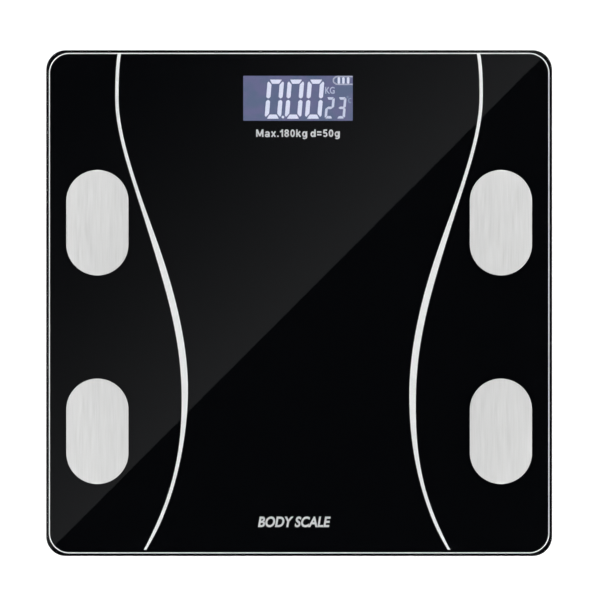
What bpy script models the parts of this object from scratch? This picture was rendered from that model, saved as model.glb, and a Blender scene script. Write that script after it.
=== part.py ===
"""A digital body scale: a tempered glass platform bonded to a moulded tray, which stands on four sprung load-cell feet.

Metres, +Z up. The origin is on the floor under the middle of the platform. +Y is the edge with the display, and the
user stands at -Y, so that -X is the user's left.
"""

import math

import bmesh
import bpy
from mathutils import Matrix, Vector

# Gaps: pieces that rest on each other keep SEAT_GAP, and pieces that move past each other keep PLAY.
SEAT_GAP = 0.0003
PLAY = 0.0006

# Glass platform.
GLASS_WIDTH = 0.260
GLASS_DEPTH = 0.260
GLASS_THICK = 0.0050
GLASS_CORNER = 0.0102
GLASS_ARRIS = 0.0004

# Moulded tray under the glass.
FLOOR_GAP = 0.0040
TRAY_WALL = 0.0024
TRAY_INSET = 0.0040
TRAY_CORNER = 0.0160
TRAY_ROUNDING = 0.0070
RIM_WIDTH = 0.0044
RIM_HEIGHT = 0.0020
BOND_LINE = 0.0012
TAPE_WIDTH = 0.0032
RIB_THICK = 0.0016
RIB_PITCH = 0.0450

# Steel electrodes on top of the glass.
ELECTRODE_WIDTH = 0.0319
ELECTRODE_LENGTH = 0.0541
ELECTRODE_THICK = 0.0004
ELECTRODE_SIDE_INSET = 0.0264
REAR_ELECTRODE_INSET = 0.0887
FRONT_ELECTRODE_INSET = 0.0642
STUD_RADIUS = 0.0014
STUD_LENGTH = 0.0075
TAG_RADIUS = 0.0036
TAG_THICK = 0.0005
TAG_TAIL_LENGTH = 0.0066
TAG_TAIL_WIDTH = 0.0024

# Feet and load cells, one set under each corner.
FOOT_INSET = 0.0350
FOOT_RADIUS = 0.0150
FOOT_FLANGE = 0.0015
FOOT_FLANGE_THICK = 0.0013
FOOT_SHELL = 0.0015
FOOT_BOSS_RADIUS = 0.0040
FOOT_CHAMFER = 0.0008
PAD_RADIUS = 0.0122
PAD_THICK = 0.0019
PAD_PROUD = 0.0010
PAD_CHAMFER = 0.0005
CELL_SIDE = 0.0340
CELL_THICK = 0.0020
CELL_CORNER = 0.0030
CELL_SLOT = 0.0018
TONGUE_WIDTH = 0.0130
TONGUE_ROOT = 0.0110
TONGUE_TIP = 0.0050
GAUGE_OFFSET = 0.0080
GAUGE_WIDTH = 0.0090
GAUGE_LENGTH = 0.0070
GAUGE_THICK = 0.0010
POCKET_WALL = 0.0020
LEDGE_REACH = 0.0040
LEDGE_THICK = 0.0020
CABLE_NOTCH = 0.0040
RETAINER_THICK = 0.0018
FOOT_HANG = 0.0008

# Battery bay: two AAA cells side by side along X.
CELL_COUNT = 2
BATTERY_RADIUS = 0.00525
BATTERY_LENGTH = 0.0445
BATTERY_NUB_RADIUS = 0.0019
BATTERY_NUB_LENGTH = 0.0010
BATTERY_SPACING = 0.0007
WIRING_CHANNEL = 0.01285
BAY_WALL = 0.0016
BAY_ROOF = 0.0012
ROOF_PROUD = 0.0006
CONTACT_THICK = 0.0005
CONTACT_WIDTH = 0.0080
SPRING_LENGTH = 0.0040
SPRING_RADIUS = 0.0034
SPRING_WIRE = 0.0006
SPRING_TURNS = 4
DOOR_THICK = 0.0020
DOOR_LEDGE = 0.0015
DOOR_FRAME = 0.0030
DOOR_PIN_RADIUS = 0.0005
DOOR_PIN_LENGTH = 0.0014
DOOR_PIN_CLEARANCE = 0.00025
LATCH_WIDTH = 0.0090
LATCH_LENGTH = 0.0070
LATCH_SLOT = 0.0010
LATCH_NIB = 0.0010
LATCH_NIB_WIDTH = 0.0060
LATCH_GRIP = 0.0008

# Display and electronics.
WINDOW_MARGIN = 0.01205
WINDOW_WIDTH = 0.0586
WINDOW_DEPTH = 0.0244
LCD_SIDE_MARGIN = 0.0010
LCD_END_MARGIN = 0.0018
LCD_THICK = 0.0018
BACKLIGHT_THICK = 0.0014
LCD_FRAME_WALL = 0.0015
PCB_SIDE_MARGIN = 0.0070
PCB_REAR_MARGIN = 0.0005
PCB_APRON = 0.01325
PCB_THICK = 0.0016
PCB_HOLE_INSET = 0.0040
PCB_HOLE_RADIUS = 0.0015
POST_RADIUS = 0.0030
SCREW_RADIUS = 0.0010
SCREW_HEAD_RADIUS = 0.0020
SCREW_HEAD_HEIGHT = 0.0014
SCREW_LENGTH = 0.0055
CHIP_RADIUS = 0.0048
CHIP_HEIGHT = 0.0014
MODULE_SIZE = (0.0140, 0.0095, 0.0020)
SWITCH_SIDE = 0.0060
SWITCH_THICK = 0.0031
PLUNGER_RADIUS = 0.0015
PLUNGER_PROUD = 0.0009
PLUNGER_DEPTH = 0.0011
BUTTON_RADIUS = 0.0040
BUTTON_FLANGE = 0.0012
BUTTON_FLANGE_THICK = 0.0008
BUTTON_RECESS = 0.0002
BUTTON_STEM_RADIUS = 0.0016
BUTTON_TRAVEL = 0.0004
LABEL_WIDTH = 0.0700
LABEL_DEPTH = 0.0380
LABEL_RECESS = 0.0004

# Wiring.
CABLE_DIAMETER = 0.0016
WIRE_DIAMETER = 0.0012
LANE_PITCH = 0.0020
SOLDER_PITCH = 0.0055
SOLDER_ROW_INSET = 0.0025

# Heights that follow from the sizes above.
DOOR_TOP = FLOOR_GAP + DOOR_THICK
DOOR_SEAT = DOOR_TOP + SEAT_GAP
BATTERY_AXIS_Z = DOOR_TOP + PLAY + BATTERY_RADIUS
BAY_CEILING = BATTERY_AXIS_Z + BATTERY_RADIUS + SEAT_GAP
HINGE_Z = FLOOR_GAP + DOOR_THICK / 2
TRAY_FLOOR_TOP = FLOOR_GAP + TRAY_WALL
TRAY_TOP = BAY_CEILING + BAY_ROOF - ROOF_PROUD
TRAY_HEIGHT = TRAY_TOP - FLOOR_GAP
GLASS_BOTTOM = TRAY_TOP + BOND_LINE
GLASS_TOP = GLASS_BOTTOM + GLASS_THICK
BURIED = FLOOR_GAP + TRAY_WALL / 2
TAPE_THICK = BOND_LINE - 2 * SEAT_GAP
LCD_TOP = GLASS_BOTTOM - BOND_LINE
LCD_BOTTOM = LCD_TOP - LCD_THICK
BACKLIGHT_BOTTOM = LCD_BOTTOM - SEAT_GAP - BACKLIGHT_THICK
PCB_TOP = BACKLIGHT_BOTTOM - SEAT_GAP
PCB_BOTTOM = PCB_TOP - PCB_THICK
ON_PCB = PCB_TOP + SEAT_GAP
PAD_SEAT = PAD_THICK + SEAT_GAP
RETAINER_TOP = FLOOR_GAP + RETAINER_THICK
FLANGE_BOTTOM = RETAINER_TOP + FOOT_HANG
FLANGE_TOP = FLANGE_BOTTOM + FOOT_FLANGE_THICK
BOSS_TOP = FLANGE_TOP + 0.0010
CELL_BOTTOM = BOSS_TOP + SEAT_GAP
CELL_TOP = CELL_BOTTOM + CELL_THICK
LEDGE_BOTTOM = CELL_TOP + SEAT_GAP
LEDGE_TOP = LEDGE_BOTTOM + LEDGE_THICK

# Places in plan that follow from the sizes above.
FOOT_X = GLASS_WIDTH / 2 - FOOT_INSET
FOOT_Y = GLASS_DEPTH / 2 - FOOT_INSET
ELECTRODE_X = GLASS_WIDTH / 2 - ELECTRODE_SIDE_INSET
DISPLAY_Y = GLASS_DEPTH / 2 - WINDOW_MARGIN - WINDOW_DEPTH / 2
LCD_WIDTH = WINDOW_WIDTH + 2 * LCD_SIDE_MARGIN
LCD_DEPTH = WINDOW_DEPTH + 2 * LCD_END_MARGIN
LCD_FRAME_WIDTH = LCD_WIDTH + 2 * (SEAT_GAP + LCD_FRAME_WALL)
LCD_FRAME_DEPTH = LCD_DEPTH + 2 * (SEAT_GAP + LCD_FRAME_WALL)
PCB_WIDTH = LCD_FRAME_WIDTH + 2 * PCB_SIDE_MARGIN
PCB_FRONT = DISPLAY_Y - LCD_FRAME_DEPTH / 2 - PCB_APRON
PCB_REAR = DISPLAY_Y + LCD_FRAME_DEPTH / 2 + PCB_REAR_MARGIN
PCB_DEPTH = PCB_REAR - PCB_FRONT
PCB_Y = (PCB_FRONT + PCB_REAR) / 2
PCB_HOLE_X = PCB_WIDTH / 2 - PCB_HOLE_INSET
PCB_HOLE_Y = PCB_DEPTH / 2 - PCB_HOLE_INSET
SWITCH_Y = PCB_FRONT + 0.0077
POCKET_SIDE = max(CELL_SIDE, 2 * (FOOT_RADIUS + FOOT_FLANGE)) + 4 * SEAT_GAP
POCKET_OUTER = POCKET_SIDE + 2 * POCKET_WALL
BAY_LENGTH = BATTERY_LENGTH + SPRING_LENGTH + 2 * CONTACT_THICK + 4 * SEAT_GAP
BATTERY_PITCH = 2 * BATTERY_RADIUS + BATTERY_SPACING
BAY_DEPTH = BATTERY_PITCH * (CELL_COUNT - 1) + 2 * BATTERY_RADIUS + 2 * PLAY
BAY_FLOOR_X = BAY_LENGTH + 2 * DOOR_LEDGE
BAY_FLOOR_Y = BAY_DEPTH + 4 * DOOR_LEDGE
BAY_Y = PCB_FRONT - WIRING_CHANNEL - DOOR_FRAME - BAY_FLOOR_Y / 2
HINGE_Y = BAY_Y + BAY_FLOOR_Y / 2 - SEAT_GAP - DOOR_THICK / 2
SOLDER_ROW_Y = PCB_FRONT + SOLDER_ROW_INSET

SIDES = {"left": -1, "right": 1}
ENDS = {"front": -1, "rear": 1}
CORNERS = {f"{end}_{side}": (SIDES[side], ENDS[end]) for end in ENDS for side in SIDES}
ELECTRODE_Y = {
    "front": FRONT_ELECTRODE_INSET - GLASS_DEPTH / 2,
    "rear": GLASS_DEPTH / 2 - REAR_ELECTRODE_INSET,
}

CURVE_STEPS = 24
CORNER_STEPS = 6
SMALL_STEPS = 12


# --- Scene, materials and objects ---


def clear_scene():
    for obj in list(bpy.data.objects):
        bpy.data.objects.remove(obj)


def new_collection(name):
    collection = bpy.data.collections.new(name)
    bpy.context.scene.collection.children.link(collection)
    return collection


def finish(name, colour, roughness, metallic=0.0):
    material = bpy.data.materials.new(name)
    material.use_nodes = True
    shader = material.node_tree.nodes["Principled BSDF"]
    shader.inputs["Base Color"].default_value = (*colour, 1.0)
    shader.inputs["Roughness"].default_value = roughness
    shader.inputs["Metallic"].default_value = metallic
    return material


clear_scene()
PARTS = new_collection("digital_bathroom_scale")
HELPERS = new_collection("cutters")
BLACK_GLASS = finish("back_printed_glass", (0.005, 0.005, 0.006), 0.05)
STEEL = finish("brushed_stainless_steel", (0.66, 0.66, 0.66), 0.35, 1.0)
SPRING_STEEL = finish("nickel_plated_steel", (0.60, 0.58, 0.55), 0.25, 1.0)
CELL_STEEL = finish("zinc_plated_steel", (0.55, 0.56, 0.58), 0.40, 1.0)
ABS = finish("black_abs", (0.020, 0.020, 0.022), 0.50)
GREY_ABS = finish("dark_grey_abs", (0.060, 0.060, 0.065), 0.55)
RUBBER = finish("black_rubber", (0.015, 0.015, 0.015), 0.85)
FOAM = finish("black_foam_tape", (0.02, 0.02, 0.02), 0.90)
SILICONE = finish("white_silicone", (0.80, 0.80, 0.78), 0.60)
BOARD = finish("green_circuit_board", (0.020, 0.160, 0.060), 0.45)
EPOXY = finish("black_epoxy", (0.010, 0.010, 0.010), 0.30)
DISPLAY = finish("blue_backlit_display", (0.130, 0.150, 0.270), 0.15)
ACRYLIC = finish("white_acrylic", (0.80, 0.82, 0.86), 0.40)
BATTERY_WRAP = finish("battery_sleeve", (0.120, 0.220, 0.160), 0.35)
RED_PVC = finish("red_pvc", (0.550, 0.020, 0.020), 0.45)
BLACK_PVC = finish("black_pvc", (0.020, 0.020, 0.020), 0.45)
WHITE_PVC = finish("white_pvc", (0.720, 0.720, 0.700), 0.45)


def part(obj, material):
    """Files obj as a piece of the scale with this finish."""
    obj.data.materials.clear()
    obj.data.materials.append(material)
    PARTS.objects.link(obj)
    return obj


def helper(obj):
    """Files obj as a tool that isn't part of the scale."""
    obj.hide_render = True
    obj.display_type = "WIRE"
    HELPERS.objects.link(obj)
    return obj


def boolean(target, tool, operation):
    modifier = target.modifiers.new(tool.name, "BOOLEAN")
    modifier.operation = operation
    modifier.solver = "EXACT"
    modifier.object = helper(tool)


def join(target, *tools):
    for tool in tools:
        boolean(target, tool, "UNION")


def cut(target, *tools):
    for tool in tools:
        boolean(target, tool, "DIFFERENCE")


# --- Shapes ---


def object_from(bm, name, location):
    mesh = bpy.data.meshes.new(name)
    bm.to_mesh(mesh)
    bm.free()
    obj = bpy.data.objects.new(name, mesh)
    obj.location = location
    return obj


def slab(name, size, location, corner=0.0, steps=CORNER_STEPS, open_top=False):
    """A box with rounded upright edges. location is the middle of its underside."""
    bm = bmesh.new()
    bmesh.ops.create_cube(bm, size=1.0)
    bmesh.ops.scale(bm, vec=size, verts=bm.verts)
    bmesh.ops.translate(bm, vec=(0.0, 0.0, size[2] / 2), verts=bm.verts)
    if open_top:
        lid = [face for face in bm.faces if face.normal.z > 0.5]
        bmesh.ops.delete(bm, geom=lid, context="FACES_ONLY")
    if corner:
        uprights = [edge for edge in bm.edges if edge.verts[0].co.xy == edge.verts[1].co.xy]
        bmesh.ops.bevel(bm, geom=uprights, offset=corner, segments=steps, profile=0.5, affect="EDGES")
    return object_from(bm, name, location)


def rod(name, radius, length, location, steps=CURVE_STEPS, axis="Z"):
    """A cylinder that starts at location and runs along +axis."""
    bm = bmesh.new()
    bmesh.ops.create_cone(bm, cap_ends=True, segments=steps, radius1=radius, radius2=radius, depth=length)
    bmesh.ops.translate(bm, vec=(0.0, 0.0, length / 2), verts=bm.verts)
    obj = object_from(bm, name, location)
    if axis == "X":
        obj.rotation_euler = (0.0, math.pi / 2, 0.0)
    return obj


def turned(name, profile, location, steps=CURVE_STEPS):
    """A solid turned about Z. profile lists (radius, height) from the top of the axis, down the outside, to its foot."""
    mesh = bpy.data.meshes.new(name)
    edges = [(i, i + 1) for i in range(len(profile) - 1)]
    mesh.from_pydata([(radius, 0.0, height) for radius, height in profile], edges, [])
    obj = bpy.data.objects.new(name, mesh)
    obj.location = location
    screw = obj.modifiers.new("Turn", "SCREW")
    screw.steps = steps
    screw.render_steps = steps
    screw.use_merge_vertices = True
    screw.merge_threshold = 1e-6
    return obj


def ring_points(radius, steps=CURVE_STEPS, centre=(0.0, 0.0)):
    turns = [2 * math.pi * i / steps for i in range(steps)]
    return [(centre[0] + radius * math.cos(a), centre[1] + radius * math.sin(a)) for a in turns]


def rounded_rectangle(width, depth, corner, steps=CORNER_STEPS, centre=(0.0, 0.0)):
    """Outline points of a rectangle with round corners, anticlockwise from the +X +Y corner."""
    points = []
    for quarter, (sx, sy) in enumerate(((1, 1), (-1, 1), (-1, -1), (1, -1))):
        middle = (centre[0] + sx * (width / 2 - corner), centre[1] + sy * (depth / 2 - corner))
        for i in range(steps + 1):
            angle = (quarter + i / steps) * math.pi / 2
            points.append((middle[0] + corner * math.cos(angle), middle[1] + corner * math.sin(angle)))
    return points


def stadium(width, length, steps=SMALL_STEPS):
    """A rectangle with half-round ends at +Y and -Y."""
    radius, straight = width / 2, (length - width) / 2
    points = []
    for end, start in ((1, 0.0), (-1, math.pi)):
        for i in range(steps + 1):
            angle = start + math.pi * i / steps
            points.append((radius * math.cos(angle), end * straight + radius * math.sin(angle)))
    return points


def plate(name, outlines, thickness, location):
    """A flat plate from closed outlines, the first outside and the others as holes. location is on its underside."""
    curve = bpy.data.curves.new(name, "CURVE")
    curve.dimensions = "2D"
    curve.fill_mode = "BOTH"
    curve.extrude = thickness / 2
    for outline in outlines:
        spline = curve.splines.new("POLY")
        spline.points.add(len(outline) - 1)
        for point, (x, y) in zip(spline.points, outline):
            point.co = (x, y, 0.0, 1.0)
        spline.use_cyclic_u = True
    obj = bpy.data.objects.new(name, curve)
    obj.location = Vector(location) + Vector((0.0, 0.0, thickness / 2))
    return obj


def as_mesh(curve_object):
    """The same shape as a closed mesh, so that it can be cut or joined."""
    name = curve_object.name
    bpy.context.scene.collection.objects.link(curve_object)
    bpy.context.view_layer.update()
    evaluated = curve_object.evaluated_get(bpy.context.evaluated_depsgraph_get())
    mesh = bpy.data.meshes.new_from_object(evaluated)
    matrix = curve_object.matrix_world.copy()
    bpy.data.objects.remove(curve_object)
    bm = bmesh.new()
    bm.from_mesh(mesh)
    bmesh.ops.remove_doubles(bm, verts=bm.verts, dist=1e-6)
    bm.to_mesh(mesh)
    bm.free()
    obj = bpy.data.objects.new(name, mesh)
    obj.matrix_world = matrix
    return obj


def smooth_route(points, pieces=3):
    """Points along a Catmull-Rom curve through these points."""
    ends = [2 * points[0] - points[1], *points, 2 * points[-1] - points[-2]]
    route = []
    for a, b, c, d in zip(ends, ends[1:], ends[2:], ends[3:]):
        for i in range(pieces):
            t = i / pieces
            route.append(
                0.5 * (2 * b + (c - a) * t + (2 * a - 5 * b + 4 * c - d) * t**2 + (3 * b - a - 3 * c + d) * t**3)
            )
    return [*route, points[-1]]


def tube(name, route, diameter, location=(0.0, 0.0, 0.0)):
    """A round wire along these points."""
    curve = bpy.data.curves.new(name, "CURVE")
    curve.dimensions = "3D"
    curve.bevel_depth = diameter / 2
    curve.bevel_resolution = 2
    curve.use_fill_caps = True
    spline = curve.splines.new("POLY")
    spline.points.add(len(route) - 1)
    for point, place in zip(spline.points, route):
        point.co = (*place, 1.0)
    obj = bpy.data.objects.new(name, curve)
    obj.location = location
    return obj


def round_edges(obj, width, segments):
    bevel = obj.modifiers.new("Round edges", "BEVEL")
    bevel.limit_method = "ANGLE"
    bevel.angle_limit = math.radians(40)
    bevel.width = width
    bevel.segments = segments


# --- Glass and electrodes ---


def build_glass():
    glass = slab("glass_platform", (GLASS_WIDTH, GLASS_DEPTH, GLASS_THICK), (0, 0, GLASS_BOTTOM), GLASS_CORNER, 8)
    round_edges(glass, GLASS_ARRIS, 2)
    for corner, (side, _) in CORNERS.items():
        place = (side * ELECTRODE_X, ELECTRODE_Y[corner.split("_")[0]], GLASS_BOTTOM - PLAY)
        cut(glass, rod(f"stud_hole_{corner}", STUD_RADIUS + PLAY, GLASS_THICK + 2 * PLAY, place, SMALL_STEPS))
    part(glass, BLACK_GLASS)


def build_electrode(corner, side):
    """A steel foot plate with a welded stud that goes down through the glass, and the solder tag pushed on the stud."""
    x, y = side * ELECTRODE_X, ELECTRODE_Y[corner.split("_")[0]]
    underside = GLASS_TOP + SEAT_GAP
    sheet = plate(f"electrode_{corner}", [stadium(ELECTRODE_WIDTH, ELECTRODE_LENGTH)], ELECTRODE_THICK, (x, y, underside))
    sheet = as_mesh(sheet)
    overlap = ELECTRODE_THICK / 2
    foot = (x, y, underside - STUD_LENGTH)
    join(sheet, rod(f"stud_{corner}", STUD_RADIUS, STUD_LENGTH + overlap, foot, SMALL_STEPS))
    part(sheet, STEEL)

    hole = STUD_RADIUS + SEAT_GAP
    tail_end = -side * (TAG_RADIUS + TAG_TAIL_LENGTH)
    half = TAG_TAIL_WIDTH / 2
    opening = math.asin(half / TAG_RADIUS)
    start = math.pi if side > 0 else 0.0
    arc = [start + opening + (2 * math.pi - 2 * opening) * i / SMALL_STEPS for i in range(SMALL_STEPS + 1)]
    outline = [(TAG_RADIUS * math.cos(a), TAG_RADIUS * math.sin(a)) for a in arc]
    outline += [(tail_end, side * half), (tail_end, -side * half)]
    tag_place = (x, y, GLASS_BOTTOM - SEAT_GAP - TAG_THICK)
    tag = plate(f"electrode_tag_{corner}", [outline, ring_points(hole, SMALL_STEPS)], TAG_THICK, tag_place)
    part(tag, SPRING_STEEL)


# --- Tray ---


def build_tape():
    outer = TRAY_INSET + (RIM_WIDTH - TAPE_WIDTH) / 2
    inner = outer + TAPE_WIDTH
    outlines = [
        rounded_rectangle(GLASS_WIDTH - 2 * inset, GLASS_DEPTH - 2 * inset, TRAY_CORNER + TRAY_INSET - inset)
        for inset in (outer, inner)
    ]
    part(plate("bonding_tape", outlines, TAPE_THICK, (0, 0, TRAY_TOP + SEAT_GAP)), FOAM)


def add_rim(tray):
    """The wall is thickened inwards at the top, where the tape holds it to the glass."""
    outlines = [
        rounded_rectangle(
            GLASS_WIDTH - 2 * (TRAY_INSET + depth), GLASS_DEPTH - 2 * (TRAY_INSET + depth), TRAY_CORNER - depth
        )
        for depth in (TRAY_WALL / 2, RIM_WIDTH)
    ]
    join(tray, as_mesh(plate("rim", outlines, RIM_HEIGHT, (0, 0, TRAY_TOP - RIM_HEIGHT))))


def add_pocket(tray, corner, side, end):
    """A square well that is open below for the foot, with a ledge that presses on the load cell's outer frame."""
    x, y = side * FOOT_X, end * FOOT_Y
    inner = POCKET_SIDE
    hole = CELL_SIDE - 2 * LEDGE_REACH
    outer_corner, inner_corner = CELL_CORNER + POCKET_WALL, CELL_CORNER
    join(tray, slab(f"well_{corner}", (POCKET_OUTER, POCKET_OUTER, TRAY_TOP - BURIED), (x, y, BURIED), outer_corner, 3))
    below = FLOOR_GAP - PLAY
    cut(
        tray,
        slab(f"well_lower_{corner}", (inner, inner, LEDGE_BOTTOM - below), (x, y, below), inner_corner, 3),
        slab(f"well_upper_{corner}", (inner, inner, TRAY_TOP - LEDGE_TOP + PLAY), (x, y, LEDGE_TOP), inner_corner, 3),
        slab(f"well_hole_{corner}", (hole, hole, LEDGE_THICK + 2 * PLAY), (x, y, LEDGE_BOTTOM - PLAY), inner_corner, 3),
    )
    notch_place = (side * (FOOT_X - POCKET_OUTER / 2), y - end * GAUGE_OFFSET, LEDGE_TOP)
    notch_size = (4 * POCKET_WALL, CABLE_NOTCH, TRAY_TOP - LEDGE_TOP + PLAY)
    cut(tray, slab(f"cable_notch_{corner}", notch_size, notch_place))


def add_ribs(tray):
    """A grid of ribs under the middle of the glass, clear of the bay and of the wiring along both sides."""
    height = TRAY_TOP - BURIED
    rear = BAY_Y - BAY_FLOOR_Y / 2 - DOOR_FRAME - 3 * RIB_THICK
    front = -(GLASS_DEPTH / 2 - TRAY_INSET - TRAY_ROUNDING - 3 * RIB_THICK)
    half_span = FOOT_X - POCKET_OUTER / 2 - 10 * LANE_PITCH - SOLDER_PITCH
    for index, x in enumerate((-half_span * 0.8, 0.0, half_span * 0.8)):
        join(tray, slab(f"long_rib_{index}", (RIB_THICK, rear - front, height), (x, (front + rear) / 2, BURIED)))
    count = int((rear - front) / RIB_PITCH)
    for index in range(count):
        y = rear - RIB_PITCH * (index + 0.5)
        join(tray, slab(f"cross_rib_{index}", (2 * half_span, RIB_THICK, height), (0, y, BURIED)))


def add_battery_bay(tray):
    """A covered box for the cells, a thicker floor round the door, the sockets of its pins and the latch notch."""
    frame = (BAY_FLOOR_X + 2 * DOOR_FRAME, BAY_FLOOR_Y + 2 * DOOR_FRAME, DOOR_SEAT + BAY_WALL - BURIED)
    walls = (BAY_LENGTH + 2 * BAY_WALL, BAY_DEPTH + 2 * BAY_WALL, BAY_CEILING + BAY_ROOF - BURIED)
    join(tray, slab("door_frame", frame, (0, BAY_Y, BURIED)), slab("bay_walls", walls, (0, BAY_Y, BURIED)))
    below = FLOOR_GAP - PLAY
    cut(
        tray,
        slab("bay_room", (BAY_LENGTH, BAY_DEPTH, BAY_CEILING - below), (0, BAY_Y, below)),
        slab("door_recess", (BAY_FLOOR_X, BAY_FLOOR_Y, DOOR_SEAT - below), (0, BAY_Y, below)),
    )
    socket = DOOR_PIN_LENGTH + SEAT_GAP
    for side_name, side in SIDES.items():
        start = side * BAY_FLOOR_X / 2 - (socket if side < 0 else PLAY)
        place = (start, HINGE_Y, HINGE_Z)
        name = f"pin_socket_{side_name}"
        cut(tray, rod(name, DOOR_PIN_RADIUS + DOOR_PIN_CLEARANCE, socket + PLAY, place, SMALL_STEPS, "X"))
        for index in range(CELL_COUNT):
            if side > 0:
                lead = (BAY_LENGTH / 2 - PLAY, battery_y(index), lead_z())
                cut(tray, rod(f"lead_hole_{index}", WIRE_DIAMETER / 2 + PLAY, BAY_WALL + 2 * PLAY, lead, SMALL_STEPS, "X"))
    depth = LATCH_NIB + SEAT_GAP + PLAY
    notch = (LATCH_NIB_WIDTH + 2 * PLAY, 2 * depth, DOOR_SEAT - below)
    cut(tray, slab("latch_notch", notch, (0, BAY_Y - BAY_FLOOR_Y / 2, below)))


def add_board_posts(tray):
    """Two bosses for the screws and two with locating pegs."""
    seat = PCB_BOTTOM - SEAT_GAP
    for index, (sx, sy) in enumerate(((-1, -1), (1, 1), (-1, 1), (1, -1))):
        place = (sx * PCB_HOLE_X, PCB_Y + sy * PCB_HOLE_Y)
        join(tray, rod(f"board_post_{index}", POST_RADIUS, seat - BURIED, (*place, BURIED), SMALL_STEPS))
        if sx == sy:
            pilot = SCREW_RADIUS + SEAT_GAP
            cut(tray, rod(f"pilot_{index}", pilot, SCREW_LENGTH, (*place, seat - SCREW_LENGTH + PLAY), SMALL_STEPS))
        else:
            peg = PCB_HOLE_RADIUS - SEAT_GAP
            join(tray, rod(f"peg_{index}", peg, PCB_THICK + PLAY, (*place, seat - PLAY), SMALL_STEPS))


def add_button_well(tray):
    radius = BUTTON_RADIUS + BUTTON_FLANGE + 2 * SEAT_GAP
    height = BUTTON_FLANGE_THICK + BUTTON_TRAVEL + TRAY_WALL
    place = (0, SWITCH_Y, BURIED)
    join(tray, rod("button_collar", radius + BAY_WALL, height, place))
    cut(
        tray,
        rod("button_cage", radius, height, (0, SWITCH_Y, TRAY_FLOOR_TOP)),
        rod("button_hole", BUTTON_RADIUS + SEAT_GAP, 2 * TRAY_WALL, (0, SWITCH_Y, FLOOR_GAP - TRAY_WALL / 2)),
    )


def build_tray():
    size = (GLASS_WIDTH - 2 * TRAY_INSET, GLASS_DEPTH - 2 * TRAY_INSET, TRAY_HEIGHT)
    tray = slab("base_tray", size, (0, 0, FLOOR_GAP), TRAY_CORNER, CORNER_STEPS, open_top=True)
    round_edges(tray, TRAY_ROUNDING, 4)
    shell = tray.modifiers.new("Wall", "SOLIDIFY")
    shell.thickness = TRAY_WALL
    shell.offset = -1
    shell.use_even_offset = True
    add_rim(tray)
    for corner, (side, end) in CORNERS.items():
        add_pocket(tray, corner, side, end)
    add_ribs(tray)
    add_battery_bay(tray)
    add_board_posts(tray)
    add_button_well(tray)
    label_y = FRONT_ELECTRODE_INSET - GLASS_DEPTH / 2
    label = (LABEL_WIDTH, LABEL_DEPTH, LABEL_RECESS + PLAY)
    cut(tray, slab("label_recess", label, (0, label_y, FLOOR_GAP - PLAY), 2 * PLAY, 2))
    part(tray, ABS)


# --- Feet and load cells ---


def build_load_cell(corner, x, y, end):
    """A stamped plate whose middle tongue the foot bends, and the potted gauge at the tongue's root."""
    half, outside = TONGUE_WIDTH / 2, TONGUE_WIDTH / 2 + CELL_SLOT
    slot = [
        (-half, -TONGUE_ROOT),
        (-half, TONGUE_TIP),
        (half, TONGUE_TIP),
        (half, -TONGUE_ROOT),
        (outside, -TONGUE_ROOT),
        (outside, TONGUE_TIP + CELL_SLOT),
        (-outside, TONGUE_TIP + CELL_SLOT),
        (-outside, -TONGUE_ROOT),
    ]
    outlines = [rounded_rectangle(CELL_SIDE, CELL_SIDE, CELL_CORNER, 3), slot]
    cell = plate(f"load_cell_{corner}", outlines, CELL_THICK, (x, y, CELL_BOTTOM))
    cell.rotation_euler.z = 0.0 if end > 0 else math.pi
    part(cell, CELL_STEEL)
    size = (GAUGE_WIDTH, GAUGE_LENGTH, GAUGE_THICK)
    gauge = slab(f"strain_gauge_{corner}", size, (x, y - end * GAUGE_OFFSET, CELL_TOP + SEAT_GAP), GAUGE_LENGTH / 4, 3)
    round_edges(gauge, GAUGE_THICK / 3, 1)
    part(gauge, SILICONE)


def build_foot(corner, x, y):
    """A turned foot that rides in a clipped retainer and pushes the load cell's tongue up, with its rubber pad."""
    bottom = PAD_PROUD
    floor = PAD_SEAT + FOOT_SHELL
    recess = PAD_RADIUS + SEAT_GAP
    profile = [
        (0.0, BOSS_TOP),
        (FOOT_BOSS_RADIUS, BOSS_TOP),
        (FOOT_BOSS_RADIUS, floor),
        (FOOT_RADIUS - FOOT_SHELL, floor),
        (FOOT_RADIUS - FOOT_SHELL, FLANGE_TOP),
        (FOOT_RADIUS + FOOT_FLANGE, FLANGE_TOP),
        (FOOT_RADIUS + FOOT_FLANGE, FLANGE_BOTTOM),
        (FOOT_RADIUS, FLANGE_BOTTOM),
        (FOOT_RADIUS, bottom + FOOT_CHAMFER),
        (FOOT_RADIUS - FOOT_CHAMFER, bottom),
        (recess, bottom),
        (recess, PAD_SEAT),
        (0.0, PAD_SEAT),
    ]
    part(turned(f"foot_{corner}", profile, (x, y, 0)), GREY_ABS)
    pad_profile = [
        (0.0, PAD_THICK),
        (PAD_RADIUS, PAD_THICK),
        (PAD_RADIUS, PAD_CHAMFER),
        (PAD_RADIUS - PAD_CHAMFER, 0.0),
        (0.0, 0.0),
    ]
    part(turned(f"foot_pad_{corner}", pad_profile, (x, y, 0)), RUBBER)
    side = POCKET_SIDE - 2 * SEAT_GAP
    outlines = [rounded_rectangle(side, side, CELL_CORNER - SEAT_GAP, 3), ring_points(FOOT_RADIUS + PLAY)]
    part(plate(f"foot_retainer_{corner}", outlines, RETAINER_THICK, (x, y, FLOOR_GAP)), ABS)


# --- Battery bay ---


def battery_y(index):
    return BAY_Y + (index - (CELL_COUNT - 1) / 2) * BATTERY_PITCH


def lead_z():
    return BATTERY_AXIS_Z + BATTERY_RADIUS / 2


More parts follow.
